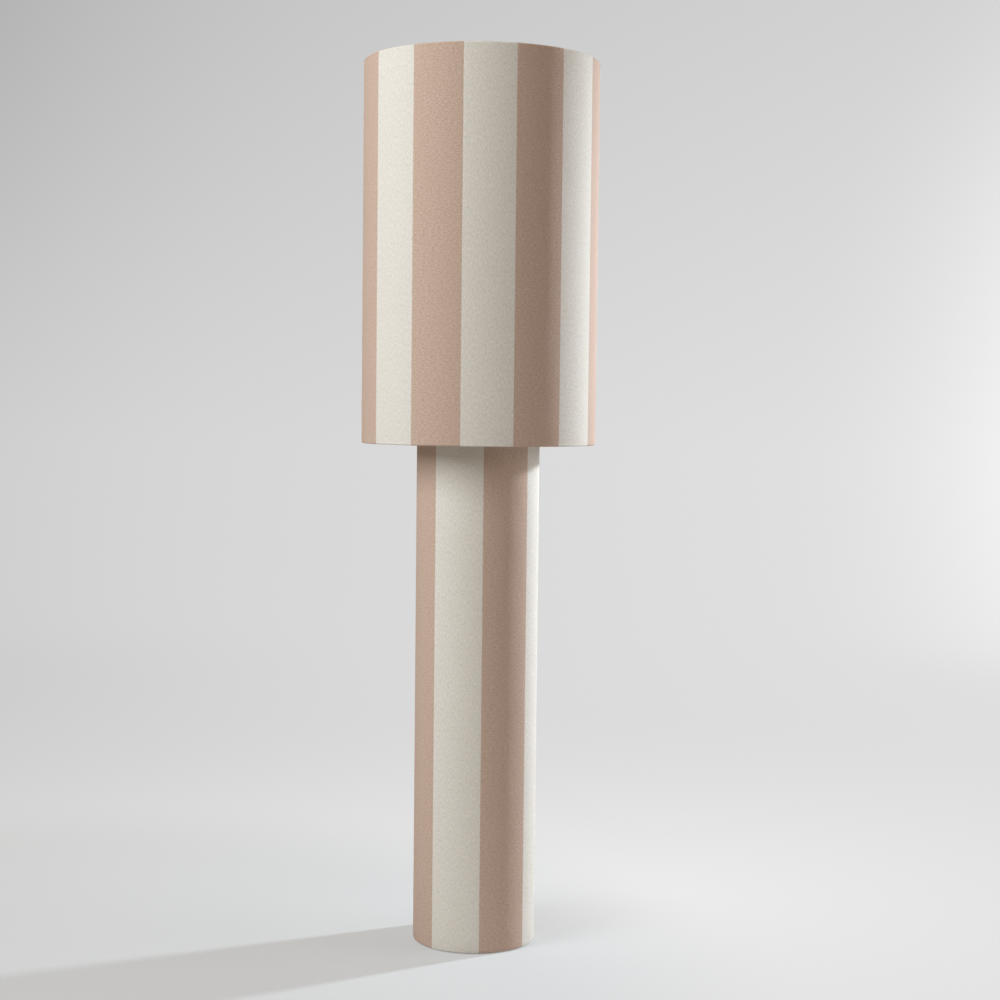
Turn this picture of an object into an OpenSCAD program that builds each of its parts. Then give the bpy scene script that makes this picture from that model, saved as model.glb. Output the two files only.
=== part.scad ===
// Floor lamp: a straight linen-covered column that carries a tall drum shade of the same striped linen.
// Lengths are in millimetres. The origin is on the floor under the lamp's axis, +Z is up and -Y is the front.

/* [Column] */
// Diameter of the column over its cloth
column_d = 210; // [180:2:240]
// Height of the column from the floor to the turned edge of its cloth
column_h = 880; // [600:10:1000]
// Wall of the paperboard tube
tube_wall = 4; // [3:0.5:6]
// Gap between the column's lower edge and the floor
floor_gap = 1; // [0.6:0.1:1.6]
// Depth of the cloth that is turned in at each end of the tube
column_turn_in = 12; // [8:1:14]
// Depth of the top board below the column's upper edge
top_recess = 4; // [3:0.5:10]
// Thickness of the top board
top_board_t = 12; // [10:1:16]
// Thickness of the base board
base_board_t = 16; // [16:1:22]
// Height of the seat rings that are glued into the tube
seat_ring_h = 12; // [8:1:16]
// Wall of the seat rings
seat_ring_wall = 12; // [8:1:14]
// Thickness of the felt under the base board
felt_t = 2; // [2:0.5:4]
// Width of the bare rim of the base board round the felt
felt_margin = 7; // [4:1:12]

/* [Ballast] */
// Height of the cast ballast disc
ballast_h = 36; // [24:1:50]
// Room round the ballast for the lead, from the tube's wall
ballast_room = 17; // [16:1:30]
// Width of the bevel on the ballast's upper edge
ballast_bevel = 3; // [1:0.5:5]

/* [Shade] */
// Diameter of the shade over its cloth
shade_d = 400; // [340:5:460]
// Height of the shade
shade_h = 643; // [400:1:700]
// Length of the column's top that the shade hides
shade_overlap = 23; // [10:1:30]
// Thickness of the stiff lining behind the cloth
liner_t = 0.8; // [0.5:0.1:1.2]
// Depth of the cloth that is tucked in behind a wire ring
shade_tuck = 7; // [4:1:10]
// Diameter of the wire of the rings and arms
wire_d = 4; // [3:0.5:5]
// Number of arms that carry the shade
arm_count = 3; // [3:1:5]
// Length of the level end of each arm
arm_level = 14; // [8:1:24]

/* [Cloth] */
// Thickness of the linen with its backing
cloth_t = 0.8; // [0.5:0.1:1.2]
// Width of one woven stripe
stripe_w = 86.2; // [50:0.2:110]
// Angle of the shade's first stripe edge, from the front
shade_edge_a = -57.9; // [-80:0.1:-30]
// Angle of the column's first stripe edge, from the front
column_edge_a = -42.1; // [-70:0.1:-20]
// Angle of the glued seams, from the front
seam_a = 168; // [150:1:210]

/* [Tie rod] */
// Outside diameter of the hollow threaded rod
rod_d = 10; // [9:0.5:12]
// Bore of the hollow rod, for the lead
rod_bore_d = 7; // [5:0.5:7.5]
// Width of the hex nuts across their flats
nut_af = 17; // [16:1:19]
// Height of the hex nuts
nut_h = 5; // [4:0.5:6]
// Diameter of the washers
washer_d = 26; // [24:1:30]
// Thickness of the washers
washer_t = 2; // [1.5:0.5:3]

/* [Cord inlet] */
// Height of the inlet above the floor
inlet_z = 46; // [44:1:120]
// Bore of the grommet
inlet_bore_d = 8; // [6:0.5:9]
// Wall of the grommet's neck
grommet_wall = 2; // [1.5:0.25:3]
// Width of the grommet's flanges
grommet_flange = 3; // [2:0.5:5]
// Thickness of the grommet's flanges at their middle
grommet_flange_t = 2.2; // [1.8:0.1:3]

/* [Lampholder] */
// Diameter of the threaded skirt
skirt_d = 39.5; // [38:0.25:41]
// Wall of the skirt
skirt_wall = 2.75; // [2.5:0.25:3]
// Height of the cap
cap_h = 26; // [24:1:30]
// Height of the skirt above the cap
skirt_h = 36; // [34:1:40]
// Height of the lower shade ring's seat above the cap
seat_h = 17; // [14:1:19]
// Width of the shade rings' flanges
ring_flange = 7; // [6:0.5:9]
// Thickness of the shade rings' flanges
ring_flange_t = 2.5; // [2:0.25:3.5]
// Height of the shade rings' collars
ring_collar_h = 6.5; // [5:0.5:8]
// Number of grips round each shade ring
grip_count = 18; // [12:2:24]
// Play of the shade's centre ring round the skirt
fitter_play = 1.25; // [0.5:0.25:2]
// Thickness of the shade's centre ring
fitter_t = 2; // [1.5:0.5:3]
// Width of the shade's centre ring beyond the shade rings
fitter_rim = 2; // [1:0.5:4]

/* [Bulb] */
// Largest diameter of the bulb
bulb_d = 60; // [55:1:70]
// Length of the bulb from its contact to its crown
bulb_h = 108; // [100:1:120]
// Diameter of the bulb's screw shell
bulb_shell_d = 26.6; // [26:0.1:26.8]
// Length of the bulb's screw shell
bulb_shell_h = 20; // [18:1:21]
// Thickness of the opal dome
dome_t = 1.4; // [1:0.2:2]
// Number of light-emitting chips
led_count = 12; // [6:2:16]

/* [Hidden] */
$fn = 120;

cream = [0.93, 0.91, 0.87];
clay = [0.82, 0.70, 0.62];
bare_zinc = [0.72, 0.73, 0.74];

// Clearances that repeat
glue_gap = 0.1; // between pieces that are glued, wrapped or welded together
slip_gap = 0.2; // between pieces that are pushed or screwed together
free_gap = 0.4; // between pieces that move past each other
cut = 1; // overrun of every cutting tool

// Column, from its cloth inwards
column_r = column_d / 2;
tube_r = column_r - cloth_t - glue_gap;
tube_in_r = tube_r - tube_wall;
board_r = tube_in_r - glue_gap - cloth_t - slip_gap;
tube_z0 = floor_gap + cloth_t + glue_gap;
tube_z1 = column_h - cloth_t - glue_gap;
turn_round = tube_wall / 2 + cloth_t; // rounding of the cloth's outer corner
tube_round = turn_round - cloth_t - glue_gap; // rounding of the tube's edges, which the cloth is turned round

// Base, from the floor upwards
base_z1 = felt_t + base_board_t;
counterbore_z = felt_t + washer_t + nut_h + 3;
ballast_z1 = base_z1 + ballast_h;
ballast_r = tube_in_r - ballast_room;
top_board_z1 = column_h - top_recess;
top_board_z0 = top_board_z1 - top_board_t;

// Lampholder, which stands on the top nut
holder_z = top_board_z1 + washer_t + nut_h;
rod_z0 = counterbore_z - washer_t - nut_h - 1.5;
rod_in_cap = 8;
skirt_z0 = holder_z + cap_h;
skirt_z1 = skirt_z0 + skirt_h;
skirt_r = skirt_d / 2;
cap_r = skirt_r - 0.15;
cap_wall = 2;
cap_neck_r = rod_d / 2 + 3;
cap_neck_h = 7;
lock_screw_r = 1.5;
spigot_h = 7;
spigot_r = cap_r - cap_wall - slip_gap;
spigot_wall = 1.8;
ledge_z = skirt_z0 + 8;
carrier_t = 2.5;
carrier_z1 = ledge_z + carrier_t;
terminal_x = 8; // terminals, from the axis
terminal_r = 1.5;
terminal_depth = 10;
shell_clear = 0.5; // between the bulb's thread and the socket's
socket_r = bulb_shell_d / 2 + shell_clear;
socket_wall = 0.6;

// Shade's seat on the lampholder
ring_in_r = skirt_r + slip_gap;
collar_wall = 2.6;
ring_r = ring_in_r + ring_flange + 2;
seat_z = skirt_z0 + seat_h;
fitter_in_r = skirt_r + fitter_play;
fitter_r = ring_r + fitter_rim;
fitter_z1 = seat_z + fitter_t;
arm_z = seat_z + fitter_t / 2;

// Shade
shade_r = shade_d / 2;
shade_z0 = column_h - shade_overlap;
shade_z1 = shade_z0 + shade_h;
wire_r = wire_d / 2;
roll_in_r = wire_r + glue_gap;
roll_r = roll_in_r + cloth_t;
wire_ring_r = shade_r - roll_r;
bottom_wire_z = shade_z0 + roll_r;
top_wire_z = shade_z1 - roll_r;
liner_r = shade_r - cloth_t - glue_gap;
liner_in_r = liner_r - liner_t;
arm_turn = 360 / arm_count;
arm_first_a = 90; // the first arm points to the back

// Bulb, from its contact upwards
bulb_z = carrier_z1 + 5;
tip_h = 1.3;
tip_r = 4.6;
insulator_h = 4.5;
bulb_shell_z0 = bulb_z + tip_h + insulator_h;
bulb_shell_z1 = bulb_shell_z0 + bulb_shell_h;
bulb_shell_r = bulb_shell_d / 2;
bulb_shell_wall = 0.5;
bulb_r = bulb_d / 2;
dome_c = bulb_z + bulb_h - bulb_r;
dome_cut = 13; // how far below its widest the dome meets its housing
dome_z0 = dome_c - dome_cut;
dome_rim_r = sqrt(bulb_r * bulb_r - dome_cut * dome_cut);
housing_neck_r = bulb_shell_r + 1.2;
housing_wall = 1.6;
led_board_t = 1.6;
led_board_z = dome_z0 - 4;
led_board_r = dome_rim_r - housing_wall - 2;
chip_size = 3.5;
chip_t = 0.8;

// A ring or tube between two radii and two heights
module ring(r_in, r_out, z0, z1) {
    translate([0, 0, z0])
        difference() {
            cylinder(h = z1 - z0, r = r_out);
            translate([0, 0, -cut])
                cylinder(h = z1 - z0 + 2 * cut, r = r_in);
        }
}

// A rectangle in the plane of a turned profile: radii along x, heights along y
module patch(r0, r1, z0, z1) {
    translate([r0, z0])
        square([r1 - r0, z1 - z0]);
}

// A straight round bar between two points
module bar(p0, p1, r) {
    v = p1 - p0;
    translate(p0)
        rotate([0, acos(v[2] / norm(v)), atan2(v[1], v[0])])
            cylinder(h = norm(v), r = r, $fn = 48);
}

// Wedges that cover every second stripe of a cloth, from seam to seam
module stripe_wedges(edge_a, radius, height) {
    step_a = stripe_w / (PI * radius) * 180;
    first = floor((seam_a - 360 - edge_a) / step_a);
    last = ceil((seam_a - edge_a) / step_a) - 1;
    linear_extrude(height = height)
        for (k = [first : last])
            if (k % 2 == 0) {
                a0 = max(edge_a + k * step_a, seam_a - 360) - 90;
                a1 = min(edge_a + (k + 1) * step_a, seam_a) - 90;
                corners = [[0.5, a0], [1.5, a0], [1.5, a1], [0.5, a1]];
                polygon([for (c = corners) radius * c[0] * [cos(c[1]), sin(c[1])]]);
            }
}

// A cloth turned from its profile and coloured by its woven stripes
module striped(edge_a, radius, height) {
    color(clay)
        difference() {
            rotate_extrude()
                children();
            stripe_wedges(edge_a, radius, height);
        }
    color(cream)
        intersection() {
            rotate_extrude()
                children();
            stripe_wedges(edge_a, radius, height);
        }
}

module hex_nut(z) {
    color(bare_zinc)
        translate([0, 0, z])
            difference() {
                intersection() {
                    cylinder(h = nut_h, r = nut_af / 2 / cos(30), $fn = 6);
                    translate([0, 0, -nut_af / 2 + nut_h - 0.6])
                        cylinder(h = nut_af, r1 = nut_af, r2 = nut_af / 4 + 2);
                    cylinder(h = nut_h, r = nut_af / 2 / cos(30) - 0.2);
                }
                translate([0, 0, -cut])
                    cylinder(h = nut_h + 2 * cut, r = rod_d / 2 + glue_gap);
            }
}

module washer(z) {
    color(bare_zinc)
        ring(rod_d / 2 + slip_gap, washer_d / 2, z, z + washer_t);
}

// Base and column

module base_felt() {
    color([0.24, 0.22, 0.21])
        cylinder(h = felt_t, r = board_r - felt_margin);
}

module base_board() {
    color([0.72, 0.60, 0.45])
        difference() {
            ring(rod_d / 2 + slip_gap, board_r, felt_t, base_z1);
            translate([0, 0, felt_t - cut])
                cylinder(h = counterbore_z - felt_t + cut, r = washer_d / 2 + 1);
        }
}

module seat_ring(z0) {
    color([0.70, 0.58, 0.42])
        ring(tube_in_r - seat_ring_wall, tube_in_r - glue_gap, z0, z0 + seat_ring_h);
}

module bottom_seat_ring() {
    seat_ring(base_z1);
}

module top_seat_ring() {
    seat_ring(top_board_z0 - seat_ring_h);
}

module ballast() {
    color([0.25, 0.26, 0.27])
        rotate_extrude()
            polygon([
                [rod_d / 2 + slip_gap, base_z1],
                [ballast_r, base_z1],
                [ballast_r, ballast_z1 - ballast_bevel],
                [ballast_r - ballast_bevel, ballast_z1],
                [rod_d / 2 + slip_gap, ballast_z1]
            ]);
}

module ballast_washer() {
    washer(ballast_z1);
}

module ballast_nut() {
    hex_nut(ballast_z1 + washer_t);
}

module bottom_washer() {
    washer(counterbore_z - washer_t);
}

module bottom_nut() {
    hex_nut(counterbore_z - washer_t - nut_h);
}

module tie_rod() {
    color(bare_zinc)
        ring(rod_bore_d / 2, rod_d / 2, rod_z0, holder_z + rod_in_cap);
}

// The hole for the grommet, through the back of the tube and its cloth
module inlet_hole() {
    translate([0, 0, inlet_z])
        rotate([-90, 0, 0])
            cylinder(h = column_r + cut, r = inlet_bore_d / 2 + grommet_wall + slip_gap);
}

module column_tube() {
    round_z = [tube_z0 + tube_round, tube_z1 - tube_round];
    color([0.62, 0.50, 0.37])
        difference() {
            rotate_extrude() {
                patch(tube_in_r, tube_r - tube_round, tube_z0, tube_z1);
                patch(tube_in_r, tube_r, round_z[0], round_z[1]);
                for (z = round_z)
                    translate([tube_r - tube_round, z])
                        circle(r = tube_round);
            }
            inlet_hole();
        }
}

// One end of the column's cloth, turned round the tube's edge and up its inside, with the edge at height 0
module turned_end() {
    out_r = column_r - turn_round;
    in_r = tube_in_r - glue_gap - cloth_t;
    patch(in_r, out_r, 0, cloth_t);
    patch(in_r, in_r + cloth_t, 0, column_turn_in);
    translate([out_r, turn_round])
        intersection() {
            difference() {
                circle(r = turn_round);
                circle(r = turn_round - cloth_t);
            }
            translate([0, -turn_round])
                square(turn_round);
        }
}

module column_cloth() {
    difference() {
        striped(column_edge_a, column_r, column_h + cut) {
            patch(column_r - cloth_t, column_r, floor_gap + turn_round, column_h - turn_round);
            translate([0, floor_gap])
                turned_end();
            translate([0, column_h])
                mirror([0, 1])
                    turned_end();
        }
        inlet_hole();
    }
}

module top_board() {
    color([0.93, 0.92, 0.89])
        ring(rod_d / 2 + slip_gap, board_r, top_board_z0, top_board_z1);
}

module top_washer() {
    washer(top_board_z1);
}

module top_nut() {
    hex_nut(top_board_z1 + washer_t);
}

// A rubber grommet: a neck through the wall and a flange on each side, shaped to the round wall
module cord_grommet() {
    neck_r = inlet_bore_d / 2 + grommet_wall;
    flange_r = neck_r + grommet_flange;
    in_y = tube_in_r - grommet_flange_t;
    out_y = column_r + grommet_flange_t;
    color([0.15, 0.15, 0.15])
        translate([0, 0, inlet_z])
            difference() {
                union() {
                    translate([0, in_y, 0])
                        rotate([-90, 0, 0])
                            cylinder(h = out_y - in_y, r = neck_r);
                    difference() {
                        translate([0, in_y + tube_wall, 0])
                            rotate([-90, 0, 0])
                                cylinder(h = out_y - in_y - tube_wall, r = flange_r);
                        cylinder(h = 4 * flange_r, r = column_r + glue_gap, center = true, $fn = 240);
                    }
                    intersection() {
                        translate([0, in_y, 0])
                            rotate([-90, 0, 0])
                                cylinder(h = 2 * grommet_flange_t, r = flange_r);
                        cylinder(h = 4 * flange_r, r = tube_in_r - glue_gap, center = true, $fn = 240);
                    }
                }
                translate([0, in_y - cut, 0])
                    rotate([-90, 0, 0])
                        cylinder(h = out_y - in_y + 2 * cut, r = inlet_bore_d / 2);
            }
}

// Lampholder

module lampholder_cap() {
    color([0.16, 0.16, 0.16])
        difference() {
            rotate_extrude()
                polygon([
                    [rod_d / 2 + glue_gap, holder_z],
                    [cap_neck_r, holder_z],
                    [cap_neck_r, holder_z + cap_neck_h],
                    [cap_r - 3, holder_z + cap_neck_h + 4],
                    [cap_r, holder_z + cap_neck_h + 8],
                    [cap_r, skirt_z0 - glue_gap],
                    [cap_r - cap_wall, skirt_z0 - glue_gap],
                    [cap_r - cap_wall, holder_z + cap_neck_h + 9],
                    [cap_r - cap_wall - 3, holder_z + cap_neck_h + 6],
                    [cap_neck_r - cap_wall, holder_z + rod_in_cap + 1.5],
                    [rod_d / 2 + glue_gap, holder_z + rod_in_cap + 1.5]
                ]);
            lock_screw_space(rod_d / 2 - cut, cap_neck_r + cut, slip_gap);
        }
}

// The space of the screw that locks the cap on the rod, between two radii and grown by a clearance
module lock_screw_space(r0, r1, gap) {
    translate([r0, 0, holder_z + cap_neck_h / 2])
        rotate([0, 90, 0])
            cylinder(h = r1 - r0, r = lock_screw_r + gap, $fn = 32);
}

module cap_lock_screw() {
    color(bare_zinc)
        difference() {
            lock_screw_space(rod_d / 2 + slip_gap, cap_neck_r, 0);
            translate([cap_neck_r - 0.8, -2 * lock_screw_r, holder_z + cap_neck_h / 2 - 0.35])
                cube([cut + 1, 4 * lock_screw_r, 0.7]);
        }
}

module lampholder_skirt() {
    color([0.16, 0.16, 0.16])
        rotate_extrude()
            polygon([
                [spigot_r - spigot_wall, skirt_z0 - spigot_h],
                [spigot_r, skirt_z0 - spigot_h],
                [spigot_r, skirt_z0],
                [skirt_r, skirt_z0],
                [skirt_r, skirt_z1 - 1],
                [skirt_r - 1, skirt_z1],
                [skirt_r - skirt_wall, skirt_z1],
                [skirt_r - skirt_wall, ledge_z],
                [spigot_r - spigot_wall, ledge_z]
            ]);
}

// The ceramic block that carries the contacts, with its flange on the skirt's ledge
module contact_carrier() {
    block_r = spigot_r - spigot_wall - slip_gap;
    color([0.94, 0.93, 0.90])
        difference() {
            union() {
                translate([0, 0, skirt_z0 - spigot_h - 2])
                    cylinder(h = ledge_z - skirt_z0 + spigot_h + 3, r = block_r);
                translate([0, 0, ledge_z])
                    cylinder(h = carrier_t, r = skirt_r - skirt_wall - slip_gap);
            }
            for (side = [-1, 1])
                terminal_space(side, slip_gap);
        }
}

// The space of one terminal screw's shank in the contact carrier, grown by a clearance
module terminal_space(side, gap) {
    translate([side * terminal_x, 0, skirt_z0 - spigot_h - 2 - cut])
        cylinder(h = terminal_depth + gap + cut, r = terminal_r + gap, $fn = 32);
}

module terminal_screws() {
    head_r = 2 * terminal_r;
    head_h = 2.2;
    slot_w = 0.8;
    slot_depth = 1;
    head_z0 = skirt_z0 - spigot_h - 2 - head_h;
    color([0.80, 0.64, 0.32])
        for (side = [-1, 1])
            difference() {
                union() {
                    terminal_space(side, 0);
                    translate([side * terminal_x, 0, head_z0])
                        cylinder(h = head_h, r = head_r, $fn = 48);
                }
                translate([side * terminal_x - head_r - cut, -slot_w / 2, head_z0 - cut])
                    cube([2 * (head_r + cut), slot_w, slot_depth + cut]);
            }
}

// The brass sleeve that takes the bulb's thread, flanged inwards over the contact carrier
module socket_shell() {
    shell_top = skirt_z1 - 5;
    color([0.80, 0.64, 0.32])
        rotate_extrude() {
            patch(socket_r, socket_r + socket_wall, carrier_z1, shell_top);
            patch(8, socket_r + socket_wall, carrier_z1, carrier_z1 + socket_wall);
            patch(socket_r, socket_r + 1.4, shell_top - socket_wall, shell_top);
        }
}

// A bronze tongue, riveted down at one end and sprung up to the bulb's contact
module centre_contact() {
    t = 0.5;
    rise = bulb_z - carrier_z1;
    color([0.78, 0.55, 0.34])
        translate([0, 2.5, carrier_z1])
            rotate([90, 0, 0])
                linear_extrude(height = 5)
                    polygon([
                        [-7, 0], [-3, 0], [2, rise - 2 * t], [4, rise - t], [4, rise],
                        [1.5, rise - t / 2], [-3.4, t], [-7, t]
                    ]);
}

// A shade ring: a threaded collar and a flange with grips on its rim, flange down with its face at height 0
module shade_ring() {
    difference() {
        rotate_extrude()
            polygon([
                [ring_in_r, 0],
                [ring_r - 0.5, 0],
                [ring_r, 0.5],
                [ring_r, ring_flange_t],
                [ring_in_r + collar_wall + 1, ring_flange_t],
                [ring_in_r + collar_wall, ring_flange_t + 1],
                [ring_in_r + collar_wall, ring_flange_t + ring_collar_h - 0.5],
                [ring_in_r + collar_wall - 0.5, ring_flange_t + ring_collar_h],
                [ring_in_r, ring_flange_t + ring_collar_h]
            ]);
        for (k = [0 : grip_count - 1])
            rotate([0, 0, (k + 0.5) * 360 / grip_count])
                translate([ring_r + 1.2, 0, -cut])
                    cylinder(h = ring_flange_t + 2 * cut, r = 2.2, $fn = 32);
    }
}

module lower_shade_ring() {
    color([0.16, 0.16, 0.16])
        translate([0, 0, seat_z])
            mirror([0, 0, 1])
                shade_ring();
}

module upper_shade_ring() {
    color([0.16, 0.16, 0.16])
        translate([0, 0, fitter_z1])
            shade_ring();
}

// Shade

module fitter_ring() {
    color([0.90, 0.90, 0.88])
        ring(fitter_in_r, fitter_r, seat_z, fitter_z1);
}

function arm_bend() = [fitter_r + arm_level, 0, arm_z];
function arm_foot() = [wire_ring_r, 0, bottom_wire_z];

// Repeats its children at each arm's angle
module at_arms() {
    for (k = [0 : arm_count - 1])
        rotate([0, 0, arm_first_a + k * arm_turn])
            children();
}

module carrier_arms() {
    color([0.90, 0.90, 0.88])
        at_arms()
            difference() {
                union() {
                    bar([fitter_r - wire_r, 0, arm_z], arm_bend(), wire_r);
                    translate(arm_bend())
                        sphere(r = wire_r, $fn = 48);
                    bar(arm_bend(), arm_foot(), wire_r);
                }
                cylinder(h = shade_z1, r = fitter_r + glue_gap);
                wire_ring(bottom_wire_z, roll_in_r);
            }
}

module wire_ring(z, r) {
    translate([0, 0, z])
        rotate_extrude()
            translate([wire_ring_r, 0])
                circle(r = r, $fn = 48);
}

module shade_bottom_wire() {
    color([0.90, 0.90, 0.88])
        wire_ring(bottom_wire_z, wire_r);
}

module shade_top_wire() {
    color([0.90, 0.90, 0.88])
        wire_ring(top_wire_z, wire_r);
}

module shade_liner() {
    color([0.96, 0.95, 0.92])
        ring(liner_in_r, liner_r, bottom_wire_z + roll_in_r, top_wire_z - roll_in_r);
}

// One edge of the shade's cloth, rolled round its wire and tucked in against the lining.
// The wire is at height 0.
module rolled_edge() {
    tuck_r = liner_in_r - glue_gap;
    translate([wire_ring_r, 0])
        difference() {
            circle(r = roll_r, $fn = 64);
            circle(r = roll_in_r, $fn = 64);
            translate([0, -2 * roll_r])
                square(2 * roll_r);
        }
    patch(wire_ring_r, tuck_r, -roll_r, -roll_in_r);
    patch(tuck_r - cloth_t, tuck_r, -roll_r - shade_tuck, -roll_in_r);
}

module shade_cloth() {
    difference() {
        striped(shade_edge_a, shade_r, shade_z1 + cut) {
            patch(shade_r - cloth_t, shade_r, bottom_wire_z, top_wire_z);
            translate([0, top_wire_z])
                rolled_edge();
            translate([0, bottom_wire_z])
                mirror([0, 1])
                    rolled_edge();
        }
        at_arms()
            bar(arm_foot(), arm_bend(), wire_r + free_gap);
    }
}

// Bulb

module bulb_tip_contact() {
    color([0.70, 0.71, 0.72])
        translate([0, 0, bulb_z])
            cylinder(h = tip_h, r1 = tip_r - 1, r2 = tip_r);
}

module bulb_insulator() {
    color([0.08, 0.08, 0.09])
        translate([0, 0, bulb_z + tip_h])
            cylinder(h = insulator_h, r1 = tip_r + 1, r2 = bulb_shell_r - 1);
}

module bulb_screw_shell() {
    color([0.80, 0.80, 0.78])
        rotate_extrude() {
            patch(bulb_shell_r - bulb_shell_wall, bulb_shell_r, bulb_shell_z0, bulb_shell_z1);
            patch(bulb_shell_r - 4, bulb_shell_r, bulb_shell_z0, bulb_shell_z0 + bulb_shell_wall);
        }
}

// Radius of the housing at a share of its height: it leaves the neck upright and flares to the dome's rim
function housing_r(s) = housing_neck_r + (dome_rim_r - housing_neck_r) * (0.35 * s + 0.65 * sin(90 * s) * s);

module bulb_housing() {
    steps = 10;
    z0 = bulb_shell_z1 + glue_gap;
    rise = dome_z0 - z0;
    outside = [for (k = [0 : steps]) [housing_r(k / steps), z0 + rise * k / steps]];
    inside = [
        for (k = [steps : -1 : 0])
            [housing_r(k / steps) - housing_wall, z0 + rise * k / steps + (k == 0 ? housing_wall : 0)]
    ];
    spigot = bulb_shell_r - bulb_shell_wall - slip_gap;
    color([0.95, 0.95, 0.94])
        rotate_extrude() {
            polygon(concat(outside, inside));
            patch(spigot - housing_wall, spigot, bulb_shell_z1 - 6, z0 + housing_wall);
            patch(spigot - housing_wall, housing_neck_r - housing_wall / 2, z0, z0 + housing_wall);
            patch(led_board_r - 2, led_board_r + 1.5, led_board_z - 1.5, led_board_z);
        }
}

// The bulb's driver: a circuit board on edge with a capacitor on one side and a choke on the other
module driver_board() {
    board_w = 2 * (bulb_shell_r - bulb_shell_wall - slip_gap - housing_wall) - 2;
    board_t = 1.2;
    board_z0 = bulb_shell_z0 + 4;
    board_z1 = led_board_z - 3;
    capacitor_r = 4;
    capacitor_h = 7;
    choke = [6, 4.4, 8];
    color([0.20, 0.42, 0.28])
        union() {
            translate([-board_w / 2, -board_t / 2, board_z0])
                cube([board_w, board_t, board_z1 - board_z0]);
            translate([0, board_t / 2, board_z1 - 2.5 * capacitor_r])
                rotate([-90, 0, 0])
                    cylinder(h = capacitor_h, r = capacitor_r, $fn = 48);
            translate([-choke[0] / 2, slip_gap - board_t / 2 - choke[1], board_z0 + choke[2]])
                cube(choke);
        }
}

module led_board() {
    color([0.85, 0.86, 0.87])
        translate([0, 0, led_board_z])
            cylinder(h = led_board_t, r = led_board_r);
}

module led_chips() {
    color([0.95, 0.85, 0.35])
        for (k = [0 : led_count - 1])
            rotate([0, 0, k * 360 / led_count])
                translate([led_board_r - 5, 0, led_board_z + led_board_t + chip_t / 2])
                    cube([chip_size, chip_size, chip_t], center = true);
}

module bulb_dome() {
    color([0.97, 0.97, 0.95])
        translate([0, 0, dome_c])
            intersection() {
                difference() {
                    sphere(r = bulb_r);
                    sphere(r = bulb_r - dome_t);
                }
                translate([-bulb_d, -bulb_d, glue_gap - dome_cut])
                    cube(2 * bulb_d);
            }
}

base_felt();
base_board();
bottom_seat_ring();
ballast();
ballast_washer();
ballast_nut();
bottom_washer();
bottom_nut();
tie_rod();
column_tube();
column_cloth();
top_seat_ring();
top_board();
top_washer();
top_nut();
cord_grommet();
lampholder_cap();
cap_lock_screw();
lampholder_skirt();
contact_carrier();
terminal_screws();
socket_shell();
centre_contact();
lower_shade_ring();
upper_shade_ring();
fitter_ring();
carrier_arms();
shade_bottom_wire();
shade_top_wire();
shade_liner();
shade_cloth();
bulb_tip_contact();
bulb_insulator();
bulb_screw_shell();
bulb_housing();
driver_board();
led_board();
led_chips();
bulb_dome();
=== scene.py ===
import math

import bpy
from mathutils import Matrix, Vector


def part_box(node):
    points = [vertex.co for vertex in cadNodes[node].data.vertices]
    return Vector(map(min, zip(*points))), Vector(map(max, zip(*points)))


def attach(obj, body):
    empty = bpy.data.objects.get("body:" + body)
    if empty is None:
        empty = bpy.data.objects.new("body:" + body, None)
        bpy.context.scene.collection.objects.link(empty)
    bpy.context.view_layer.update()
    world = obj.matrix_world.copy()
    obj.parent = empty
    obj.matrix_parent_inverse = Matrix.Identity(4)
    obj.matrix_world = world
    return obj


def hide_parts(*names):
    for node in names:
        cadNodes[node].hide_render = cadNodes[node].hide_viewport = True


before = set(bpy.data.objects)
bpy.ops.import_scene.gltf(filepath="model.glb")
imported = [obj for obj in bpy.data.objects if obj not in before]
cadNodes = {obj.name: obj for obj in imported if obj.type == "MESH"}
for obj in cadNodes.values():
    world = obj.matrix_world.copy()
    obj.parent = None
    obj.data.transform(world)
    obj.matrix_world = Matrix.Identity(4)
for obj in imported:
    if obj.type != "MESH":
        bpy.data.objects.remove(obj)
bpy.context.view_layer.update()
print("frame loaded with", len(cadNodes), "nodes")

mm = 0.001


def toLinear(hexColour):  # sRGB hex to the linear colour that shaders use
    channels = [int(hexColour[k:k + 2], 16) / 255 for k in (1, 3, 5)]
    return [c / 12.92 if c <= 0.04045 else ((c + 0.055) / 1.055) ** 2.4 for c in channels] + [1.0]


def towards(azimuth, elevation):  # direction to a light, its azimuth from the front towards +X
    a, e = math.radians(azimuth), math.radians(elevation)
    return Vector((math.sin(a) * math.cos(e), -math.cos(a) * math.cos(e), math.sin(e)))


def clearSelection():
    if bpy.context.object and bpy.context.object.mode != "OBJECT":
        bpy.ops.object.mode_set(mode="OBJECT")
    bpy.ops.object.select_all(action="DESELECT")


cameraView = {
    "place": (0.0, -3.080, 0.932),
    "yaw": 0.710,  # degrees to the right
    "pitch": 3.182,  # degrees down
    "roll": 0.618,
    "lens": 64.66,  # mm, on a sensor 36 mm wide
}
clearSelection()
bpy.ops.object.camera_add(location=cameraView["place"])
camera = bpy.context.object
camera.name = "studioCamera"
camera.rotation_euler = (
    Matrix.Rotation(math.radians(-cameraView["yaw"]), 4, "Z")
    @ Matrix.Rotation(math.radians(90 - cameraView["pitch"]), 4, "X")
    @ Matrix.Rotation(math.radians(cameraView["roll"]), 4, "Z")
).to_euler()
camera.data.lens = cameraView["lens"]
camera.data.sensor_width = 36
camera.data.clip_end = 60
bpy.context.scene.camera = camera
bpy.context.scene.view_settings.view_transform = "Standard"
print("camera placed")


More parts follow.
